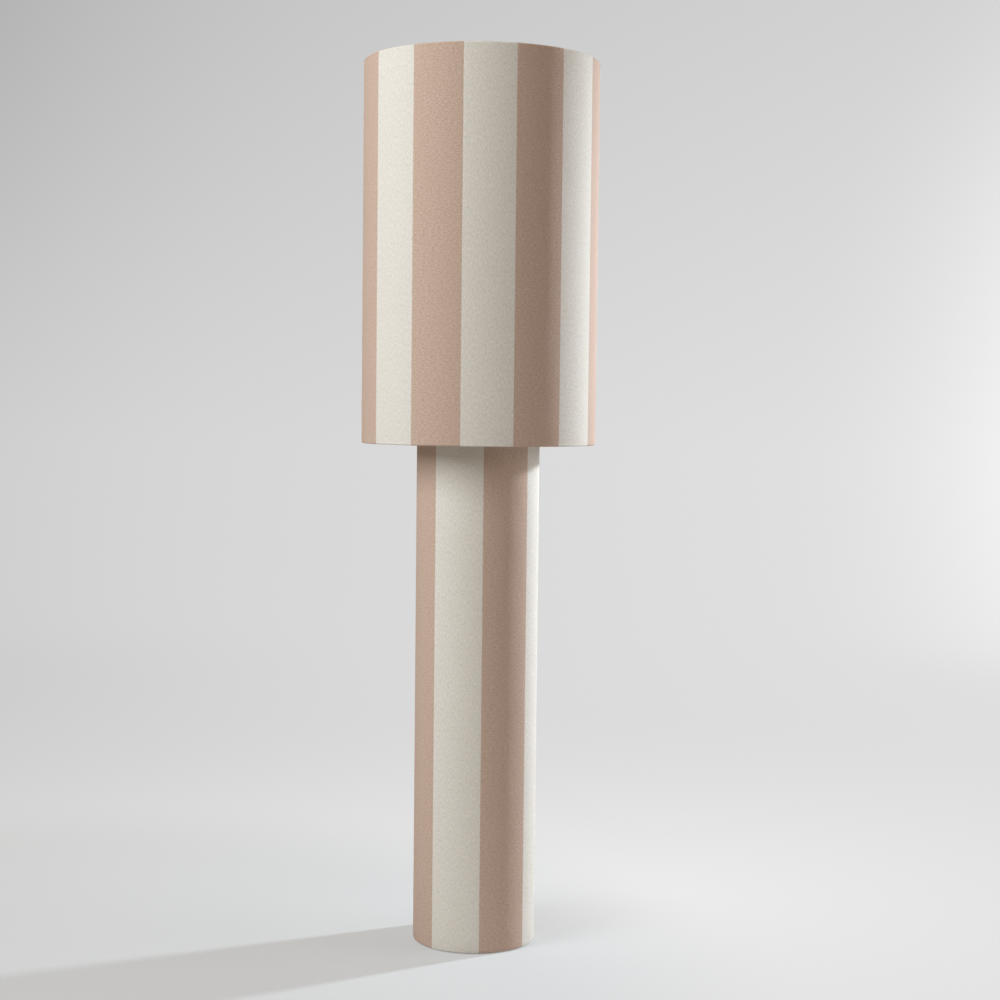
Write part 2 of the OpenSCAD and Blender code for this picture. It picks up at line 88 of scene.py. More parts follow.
def addNode(material, kind, inputs=None, **settings):  # one node with its settings and links
    node = material.node_tree.nodes.new("ShaderNode" + kind)
    for name, value in settings.items():
        setattr(node, name, value)
    for name, value in (inputs or {}).items():
        if isinstance(value, bpy.types.Node):
            value = value.outputs[0]
        if isinstance(value, bpy.types.NodeSocket):
            material.node_tree.links.new(value, node.inputs[name])
        else:
            node.inputs[name].default_value = value
    return node


def newMaterial(name, surface):  # a Principled material with its constant values on the shader's own sockets
    material = bpy.data.materials.new(name)
    material.use_nodes = True
    shader = material.node_tree.nodes["Principled BSDF"]
    for socket, value in surface.items():
        shader.inputs[socket].default_value = value
    return material, shader


def mottled(name, surface, colours, size, bump, detail=4.0, stretch=(1, 1, 1)):
    # Colour that drifts between two tones, and a bump of the same grain: size and bump are in mm.
    material, shader = newMaterial(name, surface)
    place = addNode(material, "TexCoord")
    scaled = addNode(material, "Mapping", {"Vector": place.outputs["Object"], "Scale": stretch})
    grain = addNode(material, "TexNoise",
                    {"Vector": scaled, "Scale": 1000 / size, "Detail": detail, "Roughness": 0.6})
    tone = addNode(material, "MapRange",
                   {"Value": grain.outputs["Fac"], "From Min": 0.35, "From Max": 0.65})
    colour = addNode(material, "Mix", {"Factor": tone.outputs["Result"]}, data_type="RGBA")
    colour.inputs["A"].default_value = toLinear(colours[0])
    colour.inputs["B"].default_value = toLinear(colours[1])
    material.node_tree.links.new(colour.outputs["Result"], shader.inputs["Base Color"])
    raised = addNode(material, "Bump",
                     {"Height": grain.outputs["Fac"], "Strength": 1.0, "Distance": bump * mm})
    material.node_tree.links.new(raised.outputs["Normal"], shader.inputs["Normal"])
    return material


studio = {
    "floorRadius": 4.2,
    "coveRise": 1.6,
    "wallHeight": 7.0,
    "shadowed": 0.36,  # share of the paper's tone that the lamps give, so that it keeps the shadow
    "shadowPlace": (-0.75, -0.25, 0.0),  # the shadow is kept round here
    "kept": 0.8,  # as far as this, and gone from "open" on
    "open": 1.3,
    "left": 0.646,  # the paper's painted brightness at x = -2.4 m, then at 2.4 m: painted light, lighter to the right
    "right": 0.760,
    "high": -0.115,  # painted shade: the paper's darkening from 0.7 m to 3 m up
    "paintedLightPools": (  # painted pools of light and shade on the paper: middle, reach, tone
        ((3.61, 3.87, 1.33), 2.75, 0.986),
        ((0.31, 0.28, 0.0), 2.04, 0.136),
        ((-3.4, 2.16, 3.2), 4.76, -1.149),
    ),
}
lamps = {
    "key": {"azimuth": 117.5, "distance": 2.1, "height": 1.52, "aim": 0.62, "cone": 80, "radius": 0.075,
            "watts": 258, "colour": "#E9F3FF"},
    "fill": {"azimuth": -54, "elevation": 20, "distance": 3.2, "wide": 1.6, "high": 1.9, "aim": 1.25,
             "watts": 103, "colour": "#F2F9FF"},
    "side": {"azimuth": 88, "elevation": 4, "distance": 2.6, "wide": 1.6, "high": 1.5, "aim": 0.85,
             "watts": 24, "colour": "#F0F7FF"},
    "top": {"azimuth": 0, "elevation": 90, "distance": 2.0, "wide": 0.9, "high": 0.9, "aim": 1.2,
            "watts": 10, "colour": "#FFF7EC"},
    "room": {"colour": "#FFCD9A", "strength": 0.17},
}
keyLamp = lamps["key"]
keyPlace = towards(keyLamp["azimuth"], 0) * keyLamp["distance"] + Vector((0, 0, keyLamp["height"]))
keyWay = (keyPlace - Vector((0, 0, keyLamp["aim"]))).normalized()
softboxes = {name: lamps[name] for name in ("fill", "side", "top")}
for box in softboxes.values():
    box["way"] = towards(box["azimuth"], box["elevation"])
    box["place"] = box["way"] * box["distance"] + Vector((0, 0, box["aim"]))


def openLight(material, spot, lampPlace, way, edge, strength):
    # What a lamp gives open floor, where 1 is a full white, so that only its shadow changes the paper's tone.
    # The lamp's light fades from its middle, way, to nothing where the cosine is edge.
    away = addNode(material, "VectorMath", {0: lampPlace, 1: spot}, operation="SUBTRACT")
    reach = addNode(material, "VectorMath", {0: away}, operation="LENGTH")
    front = addNode(material, "VectorMath", {0: away, 1: way}, operation="DOT_PRODUCT")
    cosine = addNode(material, "Math", {0: front.outputs["Value"], 1: reach.outputs["Value"]},
                     operation="DIVIDE")
    beam = addNode(material, "MapRange", {"Value": cosine, "From Min": edge, "From Max": 1.0},
                   interpolation_type="SMOOTHSTEP" if edge else "LINEAR")
    fall = addNode(material, "Math", {0: reach.outputs["Value"], 1: -3.0}, operation="POWER")
    given = addNode(material, "Math", {0: fall, 1: beam}, operation="MULTIPLY")
    return addNode(material, "Math", {0: given, 1: lampPlace[2] * strength}, operation="MULTIPLY")


def paintedPaperLight(material):  # the pale paper's brightness for the camera, with painted light and painted shade from place to place
    place = addNode(material, "TexCoord")
    axes = addNode(material, "SeparateXYZ", {0: place.outputs["Object"]})
    across = addNode(material, "MapRange",
                     {"Value": axes.outputs["X"], "From Min": -2.4, "From Max": 2.4,
                      "To Min": studio["left"], "To Max": studio["right"]}, clamp=False)
    height = addNode(material, "MapRange",
                     {"Value": axes.outputs["Z"], "From Min": 0.7, "From Max": 3.0,
                      "To Min": 0.0, "To Max": studio["high"]})
    tone = addNode(material, "Math", {0: across, 1: height}, operation="ADD")
    # each pool paints a brighter or darker place onto the paper: painted light or painted shade
    for middle, reach, change in studio["paintedLightPools"]:
        offset = addNode(material, "Mapping",
                         {"Vector": place.outputs["Object"], "Location": middle, "Scale": [reach] * 3},
                         vector_type="TEXTURE")
        pool = addNode(material, "TexGradient", {0: offset}, gradient_type="QUADRATIC_SPHERE")
        tone = addNode(material, "Math", {0: pool.outputs["Fac"], 1: change, 2: tone},
                       operation="MULTIPLY_ADD")
    return place, tone


# Matt background paper: a pale tone to the camera with painted light and painted shade from place to place,
# and the lamp's own rendered shadow kept near it
backdropPaper = bpy.data.materials.new("background paper with painted light")
backdropPaper.use_nodes = True
backdropPaper.node_tree.nodes.clear()
place, tone = paintedPaperLight(backdropPaper)
keyEdge = math.cos(math.radians(keyLamp["cone"] / 2))
lampsOpen = openLight(backdropPaper, place.outputs["Object"], keyPlace, keyWay, keyEdge,
                      keyLamp["watts"] / (4 * math.pi ** 2))
for box in softboxes.values():
    boxOpen = openLight(backdropPaper, place.outputs["Object"], box["place"], box["way"], 0.0,
                        box["watts"] / math.pi ** 2)
    lampsOpen = addNode(backdropPaper, "Math", {0: lampsOpen, 1: boxOpen}, operation="ADD")
roomOpen = studio["shadowed"] * 0.8 * lamps["room"]["strength"]  # and what the room's light gives the floor
litPart = addNode(backdropPaper, "Math", {0: lampsOpen, 1: studio["shadowed"], 2: roomOpen},
                  operation="MULTIPLY_ADD")
litTone = addNode(backdropPaper, "Math", {0: tone, 1: litPart}, operation="SUBTRACT")
# the paper's emission for the camera carries its painted light and painted shade
glowing = addNode(backdropPaper, "Emission", {"Color": toLinear("#FFFFFF"), "Strength": tone})
partGlowing = addNode(backdropPaper, "Emission", {"Color": toLinear("#FCFFFE"), "Strength": litTone})
partLit = addNode(backdropPaper, "BsdfDiffuse", {"Color": [studio["shadowed"]] * 3 + [1.0]})
nearTone = addNode(backdropPaper, "AddShader", {0: partGlowing, 1: partLit})
distance = addNode(backdropPaper, "VectorMath",
                   {0: place.outputs["Object"], 1: studio["shadowPlace"]}, operation="DISTANCE")
far = addNode(backdropPaper, "MapRange",
              {"Value": distance.outputs["Value"], "From Min": studio["kept"], "From Max": studio["open"]},
              interpolation_type="SMOOTHSTEP")
seen = addNode(backdropPaper, "MixShader", {0: far, 1: nearTone, 2: glowing})
plain = addNode(backdropPaper, "BsdfDiffuse", {"Color": toLinear("#C4C4C3")})
ray = addNode(backdropPaper, "LightPath")
mirrored = addNode(backdropPaper, "Math",
                   {0: ray.outputs["Is Glossy Ray"], 1: ray.outputs["Is Transmission Ray"]},
                   operation="MAXIMUM")
direct = addNode(backdropPaper, "Math",
                 {0: ray.outputs["Is Camera Ray"], 1: mirrored}, operation="MAXIMUM")
paperShader = addNode(backdropPaper, "MixShader", {0: direct, 1: plain, 2: seen})
addNode(backdropPaper, "OutputMaterial", {"Surface": paperShader})

clearSelection()
bpy.ops.mesh.primitive_circle_add(vertices=160, radius=studio["floorRadius"], fill_type="NGON")
floor = bpy.context.object
floor.name = "paperFloor"
floor.data.materials.append(backdropPaper)

clearSelection()
bpy.ops.mesh.primitive_circle_add(vertices=160, radius=studio["floorRadius"], fill_type="NOTHING")
cove = bpy.context.object
cove.name = "paperCove"
bpy.ops.object.mode_set(mode="EDIT")
bpy.ops.mesh.select_all(action="SELECT")
loopRadius, loopHeight = studio["floorRadius"], 0.0
coveSteps = [(studio["floorRadius"] + studio["coveRise"] * math.sin(math.radians(a)),
              studio["coveRise"] * (1 - math.cos(math.radians(a)))) for a in range(6, 91, 6)]
for radius, height in coveSteps + [(studio["floorRadius"] + studio["coveRise"], studio["wallHeight"])]:
    bpy.ops.mesh.extrude_edges_move()
    bpy.ops.transform.resize(value=(radius / loopRadius, radius / loopRadius, 1), center_override=(0, 0, 0))
    bpy.ops.transform.translate(value=(0, 0, height - loopHeight))
    loopRadius, loopHeight = radius, height
bpy.ops.object.mode_set(mode="OBJECT")
bpy.ops.object.shade_smooth()
cove.data.materials.append(backdropPaper)
cove.visible_shadow = False
cove.visible_diffuse = False

clearSelection()
bpy.ops.object.light_add(type="SPOT", location=keyPlace)
key = bpy.context.object
key.name = "keyLamp"
key.rotation_euler = keyWay.to_track_quat("Z", "Y").to_euler()
key.data.spot_size = math.radians(keyLamp["cone"])
key.data.spot_blend = 1.0
key.data.energy = keyLamp["watts"]
key.data.shadow_soft_size = keyLamp["radius"]
key.data.color = toLinear(keyLamp["colour"])[:3]

for boxName, box in softboxes.items():
    bpy.ops.object.light_add(type="AREA", location=box["place"])
    softbox = bpy.context.object
    softbox.name = boxName + "Lamp"
    softbox.rotation_euler = box["way"].to_track_quat("Z", "Y").to_euler()
    softbox.data.shape = "RECTANGLE"
    softbox.data.size = box["wide"]
    softbox.data.size_y = box["high"]
    softbox.data.energy = box["watts"]
    softbox.data.color = toLinear(box["colour"])[:3]

room = bpy.data.worlds.new("studioRoom")
bpy.context.scene.world = room
room.use_nodes = True
room.node_tree.nodes["Background"].inputs["Color"].default_value = toLinear(lamps["room"]["colour"])
room.node_tree.nodes["Background"].inputs["Strength"].default_value = lamps["room"]["strength"]
print("studio lit")

linen = {
    "stripe": 86.2,  # mm, width of one woven stripe
    "thread": 1.15,  # mm: real threads lie 0.7 mm apart, drawn coarser so that the weave shows
    "cream": ("#E9E5DB", "#DDD6C9"),  # warp and weft of the pale stripes
    "clay": ("#B89780", "#D9C4B4"),
    "relief": 0.20,  # mm
    "uneven": 2.6,  # how much more than the weave its uneven places rise
    "slubs": 2.4,  # and its thick threads
    "wander": 0.9,  # how far a thread strays, in threads
    "lie": 0.62,  # height of a thread between crossings, and how far it rises or dips there
    "cross": 0.38,
    "drift": 1.1,  # how far one thread's colour gives way to the other's where that one is thick
}

# Plain-weave linen, yarn-dyed in stripes: matt, a little hairy, with slubs along both threads.
# Its UV map is the flat cut cloth in metres, with a stripe's edge at 0.
stripedLinen, linenShader = newMaterial("striped woven linen", {
    "Roughness": 0.92, "IOR": 1.5, "Specular IOR Level": 0.25,
    "Sheen Weight": 0.1, "Sheen Roughness": 0.45,
})
flat = addNode(stripedLinen, "UVMap", uv_map="UVMap")
wander = addNode(stripedLinen, "TexNoise", {"Vector": flat, "Scale": 260.0, "Detail": 2.0})
wanderStep = addNode(stripedLinen, "VectorMath",
                     {0: wander.outputs["Color"], 1: (0.5, 0.5, 0.5)}, operation="SUBTRACT")
wanderBy = addNode(stripedLinen, "VectorMath",
                   {0: wanderStep, "Scale": linen["wander"] * linen["thread"] * mm}, operation="SCALE")
flatWandered = addNode(stripedLinen, "VectorMath", {0: flat, 1: wanderBy}, operation="ADD")
threads = addNode(stripedLinen, "VectorMath",
                  {0: flatWandered, "Scale": math.pi / (linen["thread"] * mm)}, operation="SCALE")
threadAxes = addNode(stripedLinen, "SeparateXYZ", {0: threads})
waves = [addNode(stripedLinen, "Math", {0: threadAxes.outputs[axis]}, operation="COSINE") for axis in "XY"]
crossing = addNode(stripedLinen, "Math", {0: waves[0], 1: waves[1]}, operation="MULTIPLY")
heights = []  # of the warp, then of the weft, which dips where the warp rises
for wave, rise in zip(waves, (linen["cross"], -linen["cross"])):
    threadRound = addNode(stripedLinen, "Math", {0: wave}, operation="ABSOLUTE")
    threadLift = addNode(stripedLinen, "Math", {0: crossing, 1: rise, 2: linen["lie"]},
                         operation="MULTIPLY_ADD")
    heights.append(addNode(stripedLinen, "Math", {0: threadRound, 1: threadLift}, operation="MULTIPLY"))
weave = addNode(stripedLinen, "Math", {0: heights[0], 1: heights[1]}, operation="MAXIMUM")
weftOnTop = addNode(stripedLinen, "Math", {0: heights[1], 1: heights[0]}, operation="GREATER_THAN")

slubs = []  # thick and thin places along the warp, then along the weft
for stretch in ((560, 170, 1), (190, 540, 1)):
    along = addNode(stripedLinen, "Mapping", {"Vector": flat, "Scale": stretch})
    slubs.append(addNode(stripedLinen, "TexNoise",
                         {"Vector": along, "Scale": 1.0, "Detail": 3.0, "Roughness": 0.65}))
slubSum = addNode(stripedLinen, "Math",
                  {0: slubs[0].outputs["Fac"], 1: slubs[1].outputs["Fac"]}, operation="ADD")
slubTone = addNode(stripedLinen, "MapRange",
                   {"Value": slubSum, "From Min": 0.72, "From Max": 1.28, "To Min": 0.87, "To Max": 1.09})
flecks = addNode(stripedLinen, "TexNoise", {"Vector": flat, "Scale": 560.0, "Detail": 1.5})
fleckTone = addNode(stripedLinen, "MapRange",
                    {"Value": flecks.outputs["Fac"], "From Min": 0.58, "From Max": 0.76,
                     "To Min": 1.0, "To Max": 0.80})
clothTone = addNode(stripedLinen, "Math", {0: slubTone, 1: fleckTone}, operation="MULTIPLY")

flatAxes = addNode(stripedLinen, "SeparateXYZ", {0: flatWandered})
stripePair = addNode(stripedLinen, "Math",
                     {0: flatAxes.outputs["X"], 1: 2 * linen["stripe"] * mm}, operation="DIVIDE")
stripePart = addNode(stripedLinen, "Math", {0: stripePair}, operation="FRACT")
isClay = addNode(stripedLinen, "Math", {0: stripePart, 1: 0.5}, operation="GREATER_THAN")
unevenFlat = addNode(stripedLinen, "Mapping", {"Vector": flat, "Scale": (310, 250, 1)})
uneven = addNode(stripedLinen, "TexNoise", {"Vector": unevenFlat, "Scale": 1.0, "Detail": 1.0})
threadShare = addNode(stripedLinen, "Math", {0: weftOnTop, 1: 0.6, 2: 0.2},
                      operation="MULTIPLY_ADD")
thicker = addNode(stripedLinen, "Math",
                  {0: slubs[1].outputs["Fac"], 1: slubs[0].outputs["Fac"]}, operation="SUBTRACT")
weftShare = addNode(stripedLinen, "Math", {0: thicker, 1: linen["drift"], 2: threadShare},
                    operation="MULTIPLY_ADD")
yarns = []
for dye in ("cream", "clay"):
    yarn = addNode(stripedLinen, "Mix", {"Factor": weftShare}, data_type="RGBA")
    yarn.inputs["A"].default_value = toLinear(linen[dye][0])
    yarn.inputs["B"].default_value = toLinear(linen[dye][1])
    yarns.append(yarn)
dyed = addNode(stripedLinen, "Mix", {"Factor": isClay}, data_type="RGBA")
stripedLinen.node_tree.links.new(yarns[0].outputs["Result"], dyed.inputs["A"])
stripedLinen.node_tree.links.new(yarns[1].outputs["Result"], dyed.inputs["B"])
toned = addNode(stripedLinen, "VectorMath",
                {0: dyed.outputs["Result"], "Scale": clothTone}, operation="SCALE")
stripedLinen.node_tree.links.new(toned.outputs["Vector"], linenShader.inputs["Base Color"])
lumps = addNode(stripedLinen, "Math", {0: uneven.outputs["Fac"], 1: linen["uneven"], 2: weave},
                operation="MULTIPLY_ADD")
relief = addNode(stripedLinen, "Math", {0: slubSum, 1: linen["slubs"], 2: lumps}, operation="MULTIPLY_ADD")
linenBump = addNode(stripedLinen, "Bump",
                    {"Height": relief, "Strength": 1.0, "Distance": linen["relief"] * mm})
stripedLinen.node_tree.links.new(linenBump.outputs["Normal"], linenShader.inputs["Normal"])
print("linen dyed")


def tracePath(parts):
    # Rows along a bent sheet's section: length so far, radius, height, and the outward normal.
    rows = []
    for part in parts:
        if part[0] == "line":
            start, end, count = Vector(part[1]), Vector(part[2]), part[3]
            points = [start.lerp(end, k / count) for k in range(count + 1)]
            headings = [(end - start).normalized()] * (count + 1)
        else:
            centre, bend, first, last, count = Vector(part[1]), part[2], part[3], part[4], part[5]
            angles = [math.radians(first + (last - first) * k / count) for k in range(count + 1)]
            side = 1 if last > first else -1
            points = [centre + bend * Vector((math.cos(a), math.sin(a))) for a in angles]
            headings = [side * Vector((-math.sin(a), math.cos(a))) for a in angles]
        for point, heading in zip(points, headings):
            if rows and (Vector(rows[-1][1:3]) - point).length < 1e-7:
                continue
            length = rows[-1][0] + (Vector(rows[-1][1:3]) - point).length if rows else 0.0
            rows.append((length, point.x, point.y, heading.y, -heading.x))
    return rows


lapGap = 0.04 * mm  # between a sheet and the lap that lies on it


def wrapSheet(name, rows, sheet):
    # A flat grid of the cut cloth is wrapped round the axis, row by row along its section,
    # and its last stretch climbs over the first to lie on it as a glued lap.
    around = 2 * math.pi * sheet["radius"]
    cut = around + sheet["lap"]
    clearSelection()
    bpy.ops.mesh.primitive_grid_add(x_subdivisions=sheet["columns"], y_subdivisions=len(rows) - 1, size=1)
    piece = bpy.context.object
    piece.name = piece.data.name = name
    flatPlaces = {}
    for vertex in piece.data.vertices:
        u = (vertex.co.x + 0.5) * cut
        rank = (vertex.co.y + 0.5) * (len(rows) - 1)
        row = rows[min(int(rank + 0.5), len(rows) - 1)]
        angle = math.radians(sheet["seam"]) + u / sheet["radius"]
        climb = min(max((u - around) / sheet["ramp"] + 1, 0), 1)
        lift = sheet["side"] * (sheet["thickness"] + lapGap) * climb * climb * (3 - 2 * climb)
        radius, height = row[1] + row[3] * lift, row[2] + row[4] * lift
        vertex.co = (radius * math.sin(angle), -radius * math.cos(angle), height)
        across = u - sheet["edge"] * sheet["radius"] + math.radians(sheet["seam"]) * sheet["radius"]
        flatPlaces[vertex.index] = (across, row[0])
    cloth = piece.data.uv_layers[0]
    for loop in piece.data.loops:
        cloth.data[loop.index].uv = flatPlaces[loop.vertex_index]
    return piece


def selectFaces(piece, test):  # back in edit mode with only the faces that pass the test selected
    bpy.ops.object.mode_set(mode="EDIT")
    bpy.ops.mesh.select_mode(type="FACE")
    bpy.ops.mesh.select_all(action="DESELECT")
    bpy.ops.object.mode_set(mode="OBJECT")
    for polygon in piece.data.polygons:
        polygon.select = test(polygon)
    bpy.ops.object.mode_set(mode="EDIT")


def finishWith(piece, kind, **settings):
    modifier = piece.modifiers.new(kind.title(), kind)
    for name, value in settings.items():
        setattr(modifier, name, value)
    bpy.context.view_layer.objects.active = piece
    bpy.ops.object.modifier_apply(modifier=modifier.name)


def settle(piece, material, body, replaced=(), smooth=40):
    # Smooth shading, material, body and slot, and the CAD nodes that the piece stands for.
    clearSelection()
    piece.select_set(True)
    bpy.context.view_layer.objects.active = piece
    bpy.ops.object.shade_smooth_by_angle(angle=math.radians(smooth))
    piece.data.materials.clear()
    piece.data.materials.append(material)
    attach(piece, body)
    if replaced:
        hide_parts(*replaced)
    return piece


# Places of the frame, read from the CAD nodes
shadeLow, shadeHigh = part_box("shade_cloth")
columnLow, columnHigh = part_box("column_cloth")
linerLow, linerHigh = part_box("shade_liner")
wireLow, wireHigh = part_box("shade_bottom_wire")
fitterLow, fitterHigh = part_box("fitter_ring")
wireRadius = (wireHigh.z - wireLow.z) / 2
ringRadius = wireHigh.x - wireRadius
bottomWireHeight = (wireLow.z + wireHigh.z) / 2
topWireHeight = shadeHigh.z - (bottomWireHeight - shadeLow.z)
armHeight = (fitterLow.z + fitterHigh.z) / 2
arms = {
    "angles": (90, 210, 330),
    "level": 14 * mm,  # from the centre ring to the corner
    "bend": 9 * mm,  # radius of the bend
    "overlap": 1.2 * mm,  # length of the arm's end on the centre ring
    "stop": 2.2 * mm,  # the arm's end from the wire ring's middle
    "room": 3.6 * mm,  # the cloth's cut from the arm's middle
}

shadeSheet = {
    "radius": shadeHigh.x - 0.4 * mm,
    "thickness": 0.8 * mm,
    "lap": 10 * mm,
    "ramp": 2.6 * mm,
    "side": 1,
    "seam": -192,  # degrees from the front
    "edge": math.radians(-57.9),
    "columns": 364,
    "tuck": 7 * mm,
    "valley": 0.28 * mm,  # where the cloth sinks between the wire and the lining's edge
}
roll = bottomWireHeight - shadeLow.z - 0.4 * mm  # middle of the cloth, from the wire's centre
tuckRadius = linerHigh.x - 1.3 * mm
turnIn = tuckRadius - ringRadius
wallRadius = ringRadius + roll
zb, zt = bottomWireHeight, topWireHeight
valleys = [(k * 0.5 * mm, shadeSheet["valley"] * math.sin(math.pi * k / 8) ** 2) for k in range(9)]
shadeRows = tracePath(
    [("line", (tuckRadius, zb + roll + turnIn + shadeSheet["tuck"]), (tuckRadius, zb + roll + turnIn), 2),
     ("arc", (ringRadius, zb + roll + turnIn), turnIn, 0, -90, 3),
     ("arc", (ringRadius, zb), roll, 90, 360, 20)]
    + [("line", (wallRadius - d0, zb + h0), (wallRadius - d1, zb + h1), 1)
       for (h0, d0), (h1, d1) in zip(valleys, valleys[1:])]
    + [("line", (wallRadius, zb + 4 * mm), (wallRadius, zt - 4 * mm), 6)]
    + [("line", (wallRadius - d1, zt - h1), (wallRadius - d0, zt - h0), 1)
       for (h0, d0), (h1, d1) in reversed(list(zip(valleys, valleys[1:])))]
    + [("arc", (ringRadius, zt), roll, 0, 270, 20),
       ("arc", (ringRadius, zt - roll - turnIn), turnIn, 90, 0, 3),
       ("line", (tuckRadius, zt - roll - turnIn), (tuckRadius, zt - roll - turnIn - shadeSheet["tuck"]), 2)])
shadeLinen = wrapSheet("shadeLinen", shadeRows, shadeSheet)


def nearArm(point, reach):  # whether a point lies within reach of an arm's slope
    for armAngle in arms["angles"]:
        a = math.radians(armAngle)
        out = Vector((math.cos(a), math.sin(a), 0))
        foot = out * ringRadius + Vector((0, 0, bottomWireHeight))
        bend = out * (fitterHigh.x + arms["level"]) + Vector((0, 0, armHeight))
        along = (bend - foot).normalized()
        offset = point - foot
        ahead = offset.dot(along)
        if ahead > -1 * mm and (offset - ahead * along).length < reach:
            return True
    return False


selectFaces(shadeLinen, lambda polygon: nearArm(polygon.center, arms["room"])
            and math.hypot(polygon.center.x, polygon.center.y) < wallRadius - 1.2 * mm)
bpy.ops.mesh.delete(type="FACE")
bpy.ops.object.mode_set(mode="OBJECT")
finishWith(shadeLinen, "SOLIDIFY", thickness=shadeSheet["thickness"], offset=0, use_even_offset=True)
settle(shadeLinen, stripedLinen, "shade", ["shade_cloth"])
print("shade linen:", len(shadeLinen.data.polygons), "faces, cut height", round(shadeRows[-1][0], 4))

columnSheet = {
    "radius": columnHigh.x - 0.4 * mm,
    "thickness": 0.8 * mm,
    "lap": 10 * mm,
    "ramp": 2.6 * mm,
    "side": 1,
    "seam": -192,
    "edge": math.radians(-42.1),
    "columns": 240,
    "turnIn": 12 * mm,
    "round": 2.4 * mm,
    "innerRound": 0.6 * mm,
}
wallR = columnSheet["radius"]
inletLow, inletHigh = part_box("cord_grommet")
inletHeight = (inletLow.z + inletHigh.z) / 2
innerR = wallR - 5 * mm
low, high = columnLow.z + 0.4 * mm, columnHigh.z - 0.4 * mm
bendR, cornerR = columnSheet["round"], columnSheet["innerRound"]
columnRows = tracePath([
    ("line", (innerR, low + columnSheet["turnIn"] - 0.4 * mm), (innerR, low + cornerR), 3),
    ("arc", (innerR + cornerR, low + cornerR), cornerR, 180, 270, 3),
    ("line", (innerR + cornerR, low), (wallR - bendR, low), 1),
    ("arc", (wallR - bendR, low + bendR), bendR, 270, 360, 8),
    ("line", (wallR, low + bendR), (wallR, inletHeight - 12 * mm), 2),
    ("line", (wallR, inletHeight - 12 * mm), (wallR, inletHeight + 12 * mm), 9),
    ("line", (wallR, inletHeight + 12 * mm), (wallR, high - bendR), 12),
    ("arc", (wallR - bendR, high - bendR), bendR, 0, 90, 8),
    ("line", (wallR - bendR, high), (innerR + cornerR, high), 1),
    ("arc", (innerR + cornerR, high - cornerR), cornerR, 90, 180, 3),
    ("line", (innerR, high - cornerR), (innerR, high - columnSheet["turnIn"] + 0.4 * mm), 3),
])
columnLinen = wrapSheet("columnLinen", columnRows, columnSheet)


def pierce(piece, centre, radius, reach):  # a round hole in a sheet, at its back
    selectFaces(piece, lambda polygon: (polygon.center - centre).length < reach)
    bpy.ops.mesh.inset(thickness=0.5 * mm)
    bpy.ops.object.mode_set(mode="OBJECT")
    inside = {v for polygon in piece.data.polygons if polygon.select for v in polygon.vertices}
    outside = {v for polygon in piece.data.polygons if not polygon.select for v in polygon.vertices}
    for index in inside & outside:
        vertex = piece.data.vertices[index]
        offset = Vector((vertex.co.x - centre.x, vertex.co.z - centre.z)).normalized() * radius
        wall = math.hypot(vertex.co.x, vertex.co.y)
        x = centre.x + offset.x
        vertex.co = (x, math.sqrt(wall * wall - x * x), centre.z + offset.y)
    bpy.ops.object.mode_set(mode="EDIT")
    bpy.ops.mesh.delete(type="FACE")
    bpy.ops.object.mode_set(mode="OBJECT")


pierce(columnLinen, Vector((0, wallR, inletHeight)), 6.2 * mm, 8 * mm)
finishWith(columnLinen, "SOLIDIFY", thickness=columnSheet["thickness"], offset=0, use_even_offset=True)
settle(columnLinen, stripedLinen, "column", ["column_cloth"])
print("column linen:", len(columnLinen.data.polygons), "faces, cut height", round(columnRows[-1][0], 4))

# PVC film behind the cloth: white, smooth, with a satin face
shadePvc = mottled("satin PVC film",
                   {"Roughness": 0.42, "IOR": 1.53, "Subsurface Weight": 0.15,
                    "Subsurface Scale": 0.002, "Subsurface Radius": (1, 1, 1)},
                   ("#F0EDE7", "#EEEBE4"), 45, 0.02)
linerSheet = {
    "radius": linerHigh.x - 0.4 * mm,
    "thickness": 0.8 * mm,
    "lap": 12 * mm,
    "ramp": 3 * mm,
    "side": -1,
    "seam": -165,
    "edge": 0,
    "columns": 240,
}
linerRows = tracePath([("line", (linerSheet["radius"], linerLow.z), (linerSheet["radius"], linerHigh.z), 12)])
shadeLining = wrapSheet("shadeLining", linerRows, linerSheet)
finishWith(shadeLining, "SOLIDIFY", thickness=linerSheet["thickness"], offset=0, use_even_offset=True)
settle(shadeLining, shadePvc, "shade", ["shade_liner"])

# Steel wire, powder coated white: even, slightly glossy, with a fine orange peel
whiteWire = mottled("white powder-coated steel", {"Roughness": 0.38, "IOR": 1.5, "Coat Weight": 0.15},
                    ("#EDECE8", "#E4E2DC"), 3.0, 0.03)


def weldSwell(piece, centres, reach, swell, core):
    # Fillets of weld metal: points near a weld move away from the wire's middle line, which core gives.
    for vertex in piece.data.vertices:
        for centre in centres:
            away = (vertex.co - centre).length / reach
            if away < 1:
                middle = core(vertex.co)
                outward = (vertex.co - middle).normalized()
                vertex.co += outward * swell * (1 - away * away) ** 2


def ringCore(height):
    def middle(point):
        outward = Vector((point.x, point.y, 0)).normalized()
        return outward * ringRadius + Vector((0, 0, height))
    return middle


for name, node, height, joint in (("bottomWire", "shade_bottom_wire", bottomWireHeight, 40),
                                  ("topWire", "shade_top_wire", topWireHeight, 75)):
    clearSelection()
    bpy.ops.mesh.primitive_torus_add(major_segments=288, minor_segments=16, major_radius=ringRadius,
                                     minor_radius=wireRadius, location=(0, 0, height))
    wire = bpy.context.object
    wire.name = wire.data.name = name
    bpy.ops.object.transform_apply(location=True)
    a = math.radians(joint)
    butt = Vector((ringRadius * math.cos(a), ringRadius * math.sin(a), height))
    weldSwell(wire, [butt], 4.5 * mm, 0.08 * mm, ringCore(height))
    settle(wire, whiteWire, "shade", [node])

